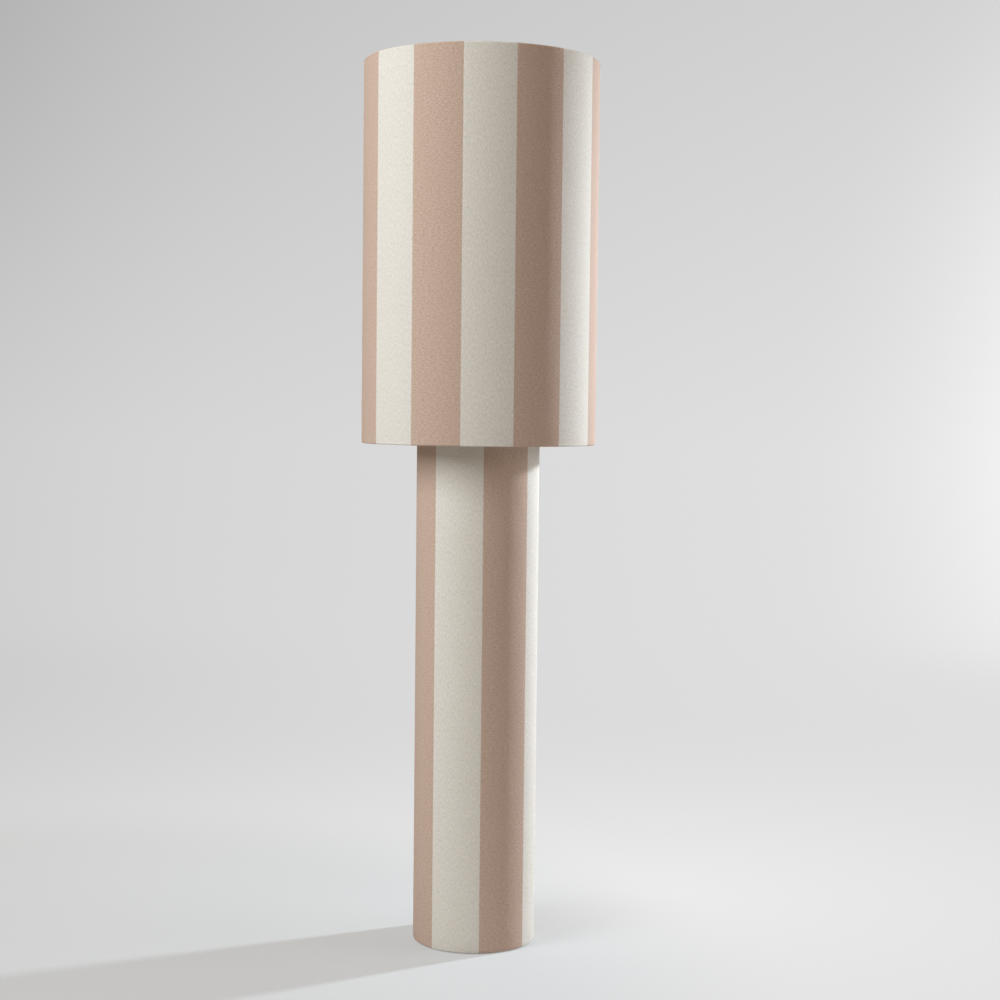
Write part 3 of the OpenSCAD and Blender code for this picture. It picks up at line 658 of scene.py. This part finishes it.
def bentPath(start, corner, end, bend, steps):  # two straights joined by an arc
    first, second = (corner - start).normalized(), (end - corner).normalized()
    turn = first.angle(second)
    reach = bend * math.tan(turn / 2)
    entry = corner - first * reach
    inward = (second - first * second.dot(first)).normalized()
    centre = entry + inward * bend
    points = [start]
    for k in range(steps + 1):
        t = turn * k / steps
        points.append(centre - inward * bend * math.cos(t) + first * bend * math.sin(t))
    return points + [end]


def sweepWire(name, points, radius):  # a round wire along points, as a closed mesh
    clearSelection()
    bpy.ops.curve.primitive_nurbs_path_add()
    wire = bpy.context.object
    wire.name = name
    wire.data.splines.clear()
    spline = wire.data.splines.new("POLY")
    spline.points.add(len(points) - 1)
    for place, point in zip(spline.points, points):
        place.co = (*point, 1)
    wire.data.dimensions = "3D"
    wire.data.bevel_depth = radius
    wire.data.bevel_resolution = 4
    wire.data.use_fill_caps = True
    bpy.ops.object.convert(target="MESH")
    wire = bpy.context.object
    bpy.ops.object.mode_set(mode="EDIT")
    bpy.ops.mesh.select_all(action="SELECT")
    bpy.ops.mesh.remove_doubles(threshold=1e-6)
    bpy.ops.mesh.normals_make_consistent(inside=False)
    bpy.ops.object.mode_set(mode="OBJECT")
    wire.data.name = name
    return wire


for k, armAngle in enumerate(arms["angles"]):
    out = Vector((math.cos(math.radians(armAngle)), math.sin(math.radians(armAngle)), 0))
    lift = Vector((0, 0, armHeight))
    start = out * (fitterHigh.x - arms["overlap"]) + lift
    corner = out * (fitterHigh.x + arms["level"]) + lift
    foot = out * ringRadius + Vector((0, 0, bottomWireHeight))
    foot += (corner - foot).normalized() * arms["stop"]
    path = bentPath(start, corner, foot, arms["bend"], 10)
    fine = []
    for p, q in zip(path, path[1:]):
        steps = max(1, int((q - p).length / (3 * mm)))
        fine += [p.lerp(q, s / steps) for s in range(steps)]
    fine.append(path[-1])
    arm = sweepWire("carrierArm%d" % (k + 1), fine, wireRadius)

    def armCore(point, path=fine):
        return min(path, key=lambda p: (p - point).length)
    weldSwell(arm, [fine[0], fine[-1]], 5 * mm, 0.7 * mm, armCore)
    settle(arm, whiteWire, "shade")
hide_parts("carrier_arms")
print("shade frame wired")


def tint(material, share, colour):  # the material's colour multiplied by another one where share is 1
    shader = material.node_tree.nodes["Principled BSDF"]
    plain = shader.inputs["Base Color"].links[0].from_socket
    tinted = addNode(material, "Mix", {"Factor": share}, data_type="RGBA", blend_type="MULTIPLY")
    tinted.inputs["B"].default_value = toLinear(colour)
    material.node_tree.links.new(plain, tinted.inputs["A"])
    material.node_tree.links.new(tinted.outputs["Result"], shader.inputs["Base Color"])


# Needled wool felt: dull, fuzzy, no gloss
feltFinish = mottled("needled wool felt", {"Roughness": 1.0, "IOR": 1.5, "Specular IOR Level": 0.1,
                                           "Sheen Weight": 0.4}, ("#3B3836", "#4A4643"), 0.9, 0.25)
# Birch plywood: pale, with long grain on its faces; on its edges every second veneer shows end grain
veneerThick = 1.4 * mm
plywoodFinish = mottled("birch plywood", {"Roughness": 0.62, "IOR": 1.5}, ("#D3B78E", "#BE9D70"),
                        6, 0.05, 5.0, (0.12, 1, 1))
plyPlace = next(n for n in plywoodFinish.node_tree.nodes if n.type == "TEX_COORD")
plyHeight = addNode(plywoodFinish, "SeparateXYZ", {0: plyPlace.outputs["Object"]})
veneer = addNode(plywoodFinish, "Math", {0: plyHeight.outputs["Z"], 1: 2 * veneerThick}, operation="DIVIDE")
veneerPart = addNode(plywoodFinish, "Math", {0: veneer}, operation="FRACT")
endGrain = addNode(plywoodFinish, "Math", {0: veneerPart, 1: 0.5}, operation="GREATER_THAN")
tint(plywoodFinish, endGrain, "#CDB9A2")
# Board painted with a roller: matt off-white with a faint orange peel
paintedFinish = mottled("matt wall paint on board", {"Roughness": 0.6, "IOR": 1.5},
                        ("#ECE9E1", "#E5E1D8"), 2.2, 0.06)
# Spiral-wound kraft board: brown, dull, with fibres, and a slanted seam where the strip meets itself
stripWide = 140 * mm
paperboardFinish = mottled("wound kraft paperboard", {"Roughness": 0.9, "IOR": 1.5}, ("#A98560", "#967250"),
                           2.5, 0.06, 5.0, (0.3, 1, 1))
boardPlace = next(n for n in paperboardFinish.node_tree.nodes if n.type == "TEX_COORD")
boardAxes = addNode(paperboardFinish, "SeparateXYZ", {0: boardPlace.outputs["Object"]})
boardTurn = addNode(paperboardFinish, "Math",
                    {0: boardAxes.outputs["Y"], 1: boardAxes.outputs["X"]}, operation="ARCTAN2")
boardWound = addNode(paperboardFinish, "Math", {0: boardTurn, 1: 0.5 / math.pi}, operation="MULTIPLY")
boardClimb = addNode(paperboardFinish, "Math",
                     {0: boardAxes.outputs["Z"], 1: 1 / stripWide, 2: boardWound}, operation="MULTIPLY_ADD")
boardPart = addNode(paperboardFinish, "Math", {0: boardClimb}, operation="FRACT")
boardSeam = addNode(paperboardFinish, "Math", {0: boardPart, 1: 0.008}, operation="LESS_THAN")
tint(paperboardFinish, boardSeam, "#8C7A68")
# Sand-cast grey iron: dark, rough, with a dull metallic face
ironFinish = mottled("sand-cast grey iron", {"Roughness": 0.66, "Metallic": 0.75},
                     ("#4C4E50", "#3C3E40"), 1.6, 0.22)
# Zinc-plated steel: bright but soft, slightly blue
zincFinish = mottled("zinc-plated steel", {"Roughness": 0.34, "Metallic": 1.0},
                     ("#C2C5C8", "#B3B7BB"), 1.2, 0.015)
# Moulded nitrile rubber: black with a grey bloom
rubberFinish = mottled("moulded nitrile rubber", {"Roughness": 0.62, "IOR": 1.52},
                       ("#1F1F1F", "#2A2A29"), 0.8, 0.03)
# Pressed phenolic resin: black, half glossy, faintly wavy
phenolicFinish = mottled("pressed phenolic resin", {"Roughness": 0.3, "IOR": 1.63, "Coat Weight": 0.1},
                         ("#191817", "#211F1E"), 4.0, 0.02)
# Fired steatite: cream-white ceramic with a dry sheen
steatiteFinish = mottled("fired steatite ceramic", {"Roughness": 0.45, "IOR": 1.58},
                         ("#ECE7DC", "#E0DACD"), 0.7, 0.03)
# Rolled brass sheet: warm metal, lightly tarnished
brassFinish = mottled("rolled brass sheet", {"Roughness": 0.28, "Metallic": 1.0},
                      ("#D9B46C", "#C79F58"), 3.0, 0.01)
# Phosphor bronze spring strip: redder and duller than brass
bronzeFinish = mottled("phosphor bronze strip", {"Roughness": 0.32, "Metallic": 1.0},
                       ("#CE9B6C", "#BC8858"), 2.0, 0.01)
# Nickel-plated brass shell of the bulb
nickelFinish = mottled("nickel-plated brass", {"Roughness": 0.25, "Metallic": 1.0},
                       ("#D0CDC6", "#C2BEB6"), 2.0, 0.01)
# Pressed black glass between the bulb's contacts
capGlassFinish = mottled("pressed black glass", {"Roughness": 0.12, "IOR": 1.52},
                         ("#0C0B10", "#15131A"), 2.0, 0.02)
# Polycarbonate bulb housing: plain white, slightly glossy
housingFinish = mottled("moulded white polycarbonate", {"Roughness": 0.4, "IOR": 1.585},
                        ("#F0F0EC", "#EAEAE5"), 1.5, 0.02)
# Glass-fibre circuit board under green solder mask
circuitFinish = mottled("solder-masked glass-fibre board", {"Roughness": 0.35, "IOR": 1.55},
                        ("#1F5A38", "#2A6B45"), 1.4, 0.03)
# Aluminium-cored board of the lights: white mask, satin
ledBoardFinish = mottled("white-masked aluminium board", {"Roughness": 0.4, "IOR": 1.5},
                         ("#E9EAEA", "#DEDFE0"), 2.0, 0.02)
# Silicone with phosphor over each chip: yellow and waxy
phosphorFinish = mottled("phosphor-filled silicone",
                         {"Roughness": 0.35, "IOR": 1.41, "Subsurface Weight": 0.3,
                          "Subsurface Scale": 0.001, "Subsurface Radius": (1, 1, 1)},
                         ("#E8CF55", "#DFC148"), 0.6, 0.02)
# Opal polycarbonate dome: milky, with a fine satin texture
opalFinish = mottled("opal polycarbonate",
                     {"Roughness": 0.36, "IOR": 1.585, "Subsurface Weight": 0.6,
                      "Subsurface Scale": 0.004, "Subsurface Radius": (1, 1, 1)},
                     ("#F6F5F0", "#F1F0EA"), 0.5, 0.01)


def turnSection(name, section, steps, closed=True):
    # A section of (radius, height) points, spun round the axis.
    clearSelection()
    bpy.ops.mesh.primitive_plane_add(size=mm)
    piece = bpy.context.object
    piece.name = piece.data.name = name
    bpy.ops.object.mode_set(mode="EDIT")
    bpy.ops.mesh.select_mode(type="VERT")
    bpy.ops.mesh.select_all(action="SELECT")
    bpy.ops.mesh.merge(type="CENTER")
    points = list(section) + [section[0]] if closed else list(section)
    bpy.ops.transform.translate(value=(points[0][0], 0, points[0][1]))
    for (r0, z0), (r1, z1) in zip(points, points[1:]):
        bpy.ops.mesh.extrude_region_move(TRANSFORM_OT_translate={"value": (r1 - r0, 0, z1 - z0)})
    bpy.ops.mesh.select_all(action="SELECT")
    bpy.ops.mesh.spin(steps=steps, angle=2 * math.pi, center=(0, 0, 0), axis=(0, 0, 1))
    bpy.ops.mesh.select_all(action="SELECT")
    bpy.ops.mesh.remove_doubles(threshold=2e-6)
    bpy.ops.mesh.normals_make_consistent(inside=False)
    bpy.ops.object.mode_set(mode="OBJECT")
    return piece


def roundCorners(section, bend, steps=3):  # the section's corners cut by short curves, where there is room
    rounded = []
    for k, corner in enumerate(section):
        corner = Vector(corner)
        before, after = Vector(section[k - 1]), Vector(section[(k + 1) % len(section)])
        reach = min(bend, (before - corner).length * 0.45, (after - corner).length * 0.45)
        entry = corner + (before - corner).normalized() * reach
        leave = corner + (after - corner).normalized() * reach
        for s in range(steps + 1):
            t = s / steps
            rounded.append(tuple(entry * (1 - t) ** 2 + corner * 2 * t * (1 - t) + leave * t * t))
    return rounded


def stepped(radius, height, steps):  # points of a section, each so many mm out from radius and up from height
    return [(radius + out * mm, height + up * mm) for out, up in steps]


def ladder(radius, start, end, step):  # points up or down a straight wall, close enough for a thread
    count = max(1, round(abs(end - start) / step))
    return [(radius, start + (end - start) * k / count) for k in range(count + 1)]


def rollThread(piece, thread, reach):
    # A right-hand thread: points of the wall within reach are drawn in towards the axis between its crests.
    for vertex in piece.data.vertices:
        x, y, z = vertex.co
        radius = math.hypot(x, y)
        if abs(radius - thread["radius"]) > reach or not thread["low"] < z < thread["high"]:
            continue
        fade = min(1, (z - thread["low"]) / thread["pitch"], (thread["high"] - z) / thread["pitch"])
        wave = math.cos(2 * math.pi * z / thread["pitch"] - math.atan2(y, x))
        dip = min(max(0.5 - thread["steep"] * wave, 0), 1)
        inner = (radius - thread["depth"] * fade * dip) / radius
        vertex.co = (x * inner, y * inner, z)


# Screw shell of the bulb: rolled round thread 3.63 mm apart, the rim punched fast to the housing
shellLow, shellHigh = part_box("bulb_screw_shell")
screwShell = {
    "sheet": 0.35 * mm,
    "thread": {"radius": shellHigh.x - 0.15 * mm, "low": shellLow.z + 1.6 * mm,
               "high": shellLow.z + 14.6 * mm, "pitch": 3.629 * mm, "depth": 0.9 * mm, "steep": 0.5},
    "punches": 10,
    "punchHeight": 2.0 * mm,  # below the rim
    "punchDepth": 0.45 * mm,
    "punchReach": 1.1 * mm,
}
shellWall = screwShell["thread"]["radius"]
screwSection = stepped(shellWall, shellLow.z,
                       ((-3.6, 0.05), (-1.6, 0.05), (-0.8, 0.2), (-0.3, 0.6), (-0.05, 1.1)))
screwSection += ladder(shellWall, shellLow.z + 1.5 * mm, shellHigh.z - 3.6 * mm, 0.36 * mm)
screwSection += ladder(shellWall, shellHigh.z - 3.2 * mm, shellHigh.z - 0.1 * mm, 0.25 * mm)
bulbShell = turnSection("bulbShell", screwSection, 160, closed=False)
rollThread(bulbShell, screwShell["thread"], 0.06 * mm)
for vertex in bulbShell.data.vertices:
    around = math.atan2(vertex.co.y, vertex.co.x) * screwShell["punches"] / (2 * math.pi) % 1 - 0.5
    side = around * 2 * math.pi * shellWall / screwShell["punches"]
    rise = vertex.co.z - (shellHigh.z - screwShell["punchHeight"])
    away = math.hypot(side, rise) / screwShell["punchReach"]
    if away < 1:
        dent = 1 - screwShell["punchDepth"] * (1 - away * away) / shellWall
        vertex.co.x, vertex.co.y = vertex.co.x * dent, vertex.co.y * dent
finishWith(bulbShell, "SOLIDIFY", thickness=screwShell["sheet"], offset=-1, use_even_offset=False)
settle(bulbShell, nickelFinish, "bulb", ["bulb_screw_shell"], smooth=50)

# Contact and black glass under the shell: a solder bead on a funnel with two steps
tipLow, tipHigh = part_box("bulb_tip_contact")
glassLow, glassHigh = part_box("bulb_insulator")
bead = tipHigh.x
bulbTip = turnSection("bulbTip", [
    (0.02 * mm, tipLow.z), (bead * 0.4, tipLow.z + 0.06 * mm), (bead * 0.72, tipLow.z + 0.3 * mm),
    (bead * 0.93, tipLow.z + 0.7 * mm), (bead, tipHigh.z - 0.2 * mm), (bead * 0.96, tipHigh.z),
    (0.02 * mm, tipHigh.z)], 64)
settle(bulbTip, zincFinish, "bulb", ["bulb_tip_contact"], smooth=60)
glassTall = glassHigh.z - glassLow.z
bulbGlass = turnSection("bulbGlass", roundCorners([
    (1.0 * mm, glassLow.z), (5.4 * mm, glassLow.z), (6.1 * mm, glassLow.z + 0.5 * mm),
    (6.8 * mm, glassLow.z + 0.45 * glassTall), (8.0 * mm, glassLow.z + 0.55 * glassTall),
    (9.4 * mm, glassLow.z + 0.78 * glassTall), (glassHigh.x, glassHigh.z - 0.5 * mm),
    (glassHigh.x, glassHigh.z), (1.0 * mm, glassHigh.z)], 0.5 * mm), 96)
settle(bulbGlass, capGlassFinish, "bulb", ["bulb_insulator"])

# Housing of the bulb: a smooth flare from the shell to the dome, with a groove and a ledge for the lights
housingLow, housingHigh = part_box("bulb_housing")
boardLow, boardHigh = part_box("led_board")
housing = {
    "neck": 14.5 * mm,
    "wall": 1.6 * mm,
    "spigot": 12.2 * mm,
    "groove": 0.5 * mm,  # depth
    "grooveHeight": 2.4 * mm,  # below the dome
    "steps": 26,
}
rim, base = housingHigh.x, shellHigh.z + 0.1 * mm


def flareAt(height):  # outer radius of the housing: upright at the neck, then flaring to the dome's rim
    s = min(max((height - base) / (housingHigh.z - base), 0), 1)
    return housing["neck"] + (rim - housing["neck"]) * (0.35 * s + 0.65 * math.sin(math.pi / 2 * s) * s)


grooveMiddle = housingHigh.z - housing["grooveHeight"]
flareHeights = [base + (housingHigh.z - base) * k / housing["steps"] for k in range(housing["steps"] + 1)]
outside = [(flareAt(base) - 0.5 * mm, base), (flareAt(base) - 0.08 * mm, base + 0.35 * mm)]
outside += [(flareAt(z), z) for z in flareHeights[1:] if z < grooveMiddle - 0.8 * mm]
outside += [(flareAt(grooveMiddle + dz * mm) - depth * housing["groove"], grooveMiddle + dz * mm)
            for dz, depth in ((-0.55, 0), (-0.3, 0.6), (-0.12, 1), (0.12, 1), (0.3, 0.6), (0.55, 0))]
outside += [(flareAt(z), z) for z in flareHeights if z > grooveMiddle + 0.8 * mm]
pocket = boardHigh.x + 0.15 * mm
ledge = [(rim - housing["wall"], housingHigh.z),
         (flareAt(boardLow.z + 1.1 * mm) - housing["wall"], boardLow.z + 1.1 * mm),
         (pocket, boardLow.z + 0.9 * mm), (pocket, boardLow.z - 0.05 * mm),
         (pocket - 2.1 * mm, boardLow.z - 0.05 * mm), (pocket - 2.1 * mm, boardLow.z - 1.4 * mm)]
inside = [(flareAt(z) - housing["wall"], z) for z in reversed(flareHeights)
          if base + 2.2 * mm < z < boardLow.z - 3 * mm]
spigot = [(housing["spigot"] - 1.6 * mm, base + 1.6 * mm), (housing["spigot"] - 1.6 * mm, housingLow.z),
          (housing["spigot"] - 0.3 * mm, housingLow.z), (housing["spigot"], housingLow.z + 0.3 * mm),
          (housing["spigot"], base)]
bulbHousing = turnSection("bulbHousing", outside + ledge + inside + spigot, 128)
settle(bulbHousing, housingFinish, "bulb", ["bulb_housing"], smooth=35)
print("bulb turned:", len(bulbShell.data.polygons), "faces in its screw shell")

# Screw shell of the lampholder: the same thread pressed in brass, flanged over the ceramic block
brassLow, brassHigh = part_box("socket_shell")
socket = {
    "sheet": 0.35 * mm,
    "thread": {"radius": 14.3 * mm, "low": brassLow.z + 2.2 * mm, "high": brassHigh.z - 0.9 * mm,
               "pitch": 3.629 * mm, "depth": 0.5 * mm, "steep": 0.5},
    "opening": 8 * mm,
}
brassWall, brassFloor = socket["thread"]["radius"], brassLow.z + socket["sheet"]
socketSection = [(socket["opening"], brassFloor)]
socketSection += stepped(brassWall, brassFloor, ((-1.2, 0), (-0.5, 0.2), (-0.1, 0.6)))
socketSection += ladder(brassWall, brassFloor + 1.0 * mm, brassHigh.z - 1.0 * mm, 0.36 * mm)
socketSection += stepped(brassWall, brassHigh.z, ((0.1, -0.65), (0.4, -0.4)))
socketSection += stepped(brassHigh.x, brassHigh.z, [(-0.1, -0.4)])
socketShell = turnSection("socketShell", socketSection, 144, closed=False)
rollThread(socketShell, socket["thread"], 0.06 * mm)
finishWith(socketShell, "SOLIDIFY", thickness=socket["sheet"], offset=-1, use_even_offset=False)
settle(socketShell, brassFinish, "column", ["socket_shell"], smooth=50)

# Skirt of the lampholder: pressed resin with a coarse thread all the way up for the shade rings
skirtLow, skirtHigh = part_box("lampholder_skirt")
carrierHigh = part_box("contact_carrier")[1]
skirt = {
    "thread": {"radius": skirtHigh.x - 0.02 * mm, "low": skirtLow.z + 8.2 * mm,
               "high": skirtHigh.z - 1.0 * mm, "pitch": 2.5 * mm, "depth": 0.75 * mm, "steep": 1.1},
    "shoulder": 7 * mm,  # from its lowest point, where it sits on the cap
    "spigotOut": 17.4 * mm,
    "spigotIn": 15.6 * mm,
    "boreAbove": 17.0 * mm,
}
skirtWall, shoulder = skirt["thread"]["radius"], skirtLow.z + skirt["shoulder"]
ledgeHeight = carrierHigh.z - 2.5 * mm
skirtSection = [(skirt["spigotIn"], skirtLow.z), (skirt["spigotOut"] - 0.3 * mm, skirtLow.z),
                (skirt["spigotOut"], skirtLow.z + 0.3 * mm), (skirt["spigotOut"], shoulder),
                (skirtWall - 0.3 * mm, shoulder)]
skirtSection += ladder(skirtWall, shoulder + 0.25 * mm, skirtHigh.z - 0.9 * mm, 0.25 * mm)
skirtSection += stepped(skirtWall, skirtHigh.z, ((-0.3, -0.4), (-0.9, -0.05)))
skirtSection += stepped(skirt["boreAbove"], skirtHigh.z, ((0.4, 0), (0, -0.4)))
skirtSection += [(skirt["boreAbove"], ledgeHeight), (skirt["spigotIn"], ledgeHeight)]
lampSkirt = turnSection("lampSkirt", skirtSection, 160)
rollThread(lampSkirt, skirt["thread"], 0.1 * mm)
settle(lampSkirt, phenolicFinish, "column", ["lampholder_skirt"], smooth=60)

# Shade rings: a collar on a flange with scalloped grips, every edge eased as the mould leaves it
shadeRing = {
    "bore": 19.95 * mm,
    "collar": 2.6 * mm,
    "collarHeight": 6.5 * mm,
    "wide": 9 * mm,  # from the bore to the rim
    "flange": 2.5 * mm,
    "grips": 18,
    "gripRadius": 2.2 * mm,
    "gripOut": 1.2 * mm,  # middle of a grip's curve, outside the rim
    "eased": 0.5 * mm,
}


def mouldRing(name, body, node, face, way):
    # The height of the ring's flat face is face, and way is 1 where its collar points up and -1 where down.
    rimRadius = shadeRing["bore"] + shadeRing["wide"]
    top = shadeRing["flange"] + shadeRing["collarHeight"]
    collarOut = shadeRing["bore"] + shadeRing["collar"]
    outline = [(shadeRing["bore"], 0), (rimRadius, 0), (rimRadius, shadeRing["flange"]),
               (collarOut + 1 * mm, shadeRing["flange"]), (collarOut, shadeRing["flange"] + 1 * mm),
               (collarOut, top), (shadeRing["bore"], top)]
    outline = [(r, face + way * z) for r, z in roundCorners(outline, shadeRing["eased"])]
    ring = turnSection(name, outline, 20 * shadeRing["grips"])
    pitch = 2 * math.pi / shadeRing["grips"]
    gripMiddle = rimRadius + shadeRing["gripOut"]
    for vertex in ring.data.vertices:
        radius = math.hypot(vertex.co.x, vertex.co.y)
        if radius < rimRadius - 1.6 * mm:
            continue
        turned = math.atan2(vertex.co.y, vertex.co.x) % pitch - pitch / 2
        across = gripMiddle * math.sin(turned)
        if abs(across) < shadeRing["gripRadius"]:
            edge = gripMiddle * math.cos(turned) - math.sqrt(shadeRing["gripRadius"] ** 2 - across ** 2)
            drawn = min(0, edge - rimRadius) / radius
            vertex.co.x += vertex.co.x * drawn
            vertex.co.y += vertex.co.y * drawn
    settle(ring, phenolicFinish, body, [node], smooth=35)


mouldRing("lowerRing", "column", "lower_shade_ring", fitterLow.z, -1)
mouldRing("upperRing", "retaining_ring", "upper_shade_ring", fitterHigh.z, 1)

# Centre ring of the shade: punched from steel, its edges rounded by the powder coat
fitterBore = 21.0 * mm
fitterPlate = turnSection("fitterPlate", roundCorners([
    (fitterBore, fitterLow.z), (fitterHigh.x, fitterLow.z), (fitterHigh.x, fitterHigh.z),
    (fitterBore, fitterHigh.z)], 0.7 * mm, 4), 144)
settle(fitterPlate, whiteWire, "shade", ["fitter_ring"], smooth=45)
print("lampholder and its rings turned")

# Grommet: a soft moulded neck through the wall with a rounded flange on each side, bent to the round wall
grommet = {
    "bore": 4 * mm,  # radii, from its middle
    "neck": 6 * mm,
    "flange": 9 * mm,
    "wall": (100.05 * mm, 105.05 * mm),  # faces that the flanges lie on, from the axis
    "eased": 0.9 * mm,
}
inner, outer = grommet["wall"]
cordGrommet = turnSection("cordGrommet", roundCorners([
    (grommet["bore"], inletLow.y), (grommet["flange"], inletLow.y), (grommet["flange"], inner),
    (grommet["neck"], inner), (grommet["neck"], outer), (grommet["flange"], outer),
    (grommet["flange"], inletHigh.y), (grommet["bore"], inletHigh.y)], grommet["eased"], 4), 72)
for vertex in cordGrommet.data.vertices:
    across, up, depth = vertex.co
    bent = math.sqrt(outer * outer - across * across) - outer
    vertex.co = (across, depth + bent, inletHeight + up)
bpy.ops.object.mode_set(mode="EDIT")
bpy.ops.mesh.select_all(action="SELECT")
bpy.ops.mesh.normals_make_consistent(inside=False)
bpy.ops.object.mode_set(mode="OBJECT")
settle(cordGrommet, rubberFinish, "column", ["cord_grommet"], smooth=50)

finishedNodes = (
    (feltFinish, "base_felt"),
    (plywoodFinish, "base_board bottom_seat_ring top_seat_ring"),
    (ironFinish, "ballast"),
    (zincFinish, "ballast_washer ballast_nut bottom_washer bottom_nut tie_rod top_washer top_nut"),
    (zincFinish, "cap_lock_screw bulb_tip_contact"),
    (paperboardFinish, "column_tube"),
    (stripedLinen, "column_cloth shade_cloth"),
    (paintedFinish, "top_board"),
    (rubberFinish, "cord_grommet"),
    (phenolicFinish, "lampholder_cap lampholder_skirt lower_shade_ring upper_shade_ring"),
    (steatiteFinish, "contact_carrier"),
    (brassFinish, "terminal_screws socket_shell"),
    (bronzeFinish, "centre_contact"),
    (whiteWire, "fitter_ring carrier_arms shade_bottom_wire shade_top_wire"),
    (shadePvc, "shade_liner"),
    (capGlassFinish, "bulb_insulator"),
    (nickelFinish, "bulb_screw_shell"),
    (housingFinish, "bulb_housing"),
    (circuitFinish, "driver_board"),
    (ledBoardFinish, "led_board"),
    (phosphorFinish, "led_chips"),
    (opalFinish, "bulb_dome"),
)
cadFinishes = {nodeName: finish for finish, names in finishedNodes for nodeName in names.split()}
for nodeName, node in cadNodes.items():
    if node.material_slots:
        for cadSlot in node.material_slots:
            cadSlot.material = cadFinishes[nodeName]
    else:
        node.data.materials.append(cadFinishes[nodeName])
print("CAD nodes finished")
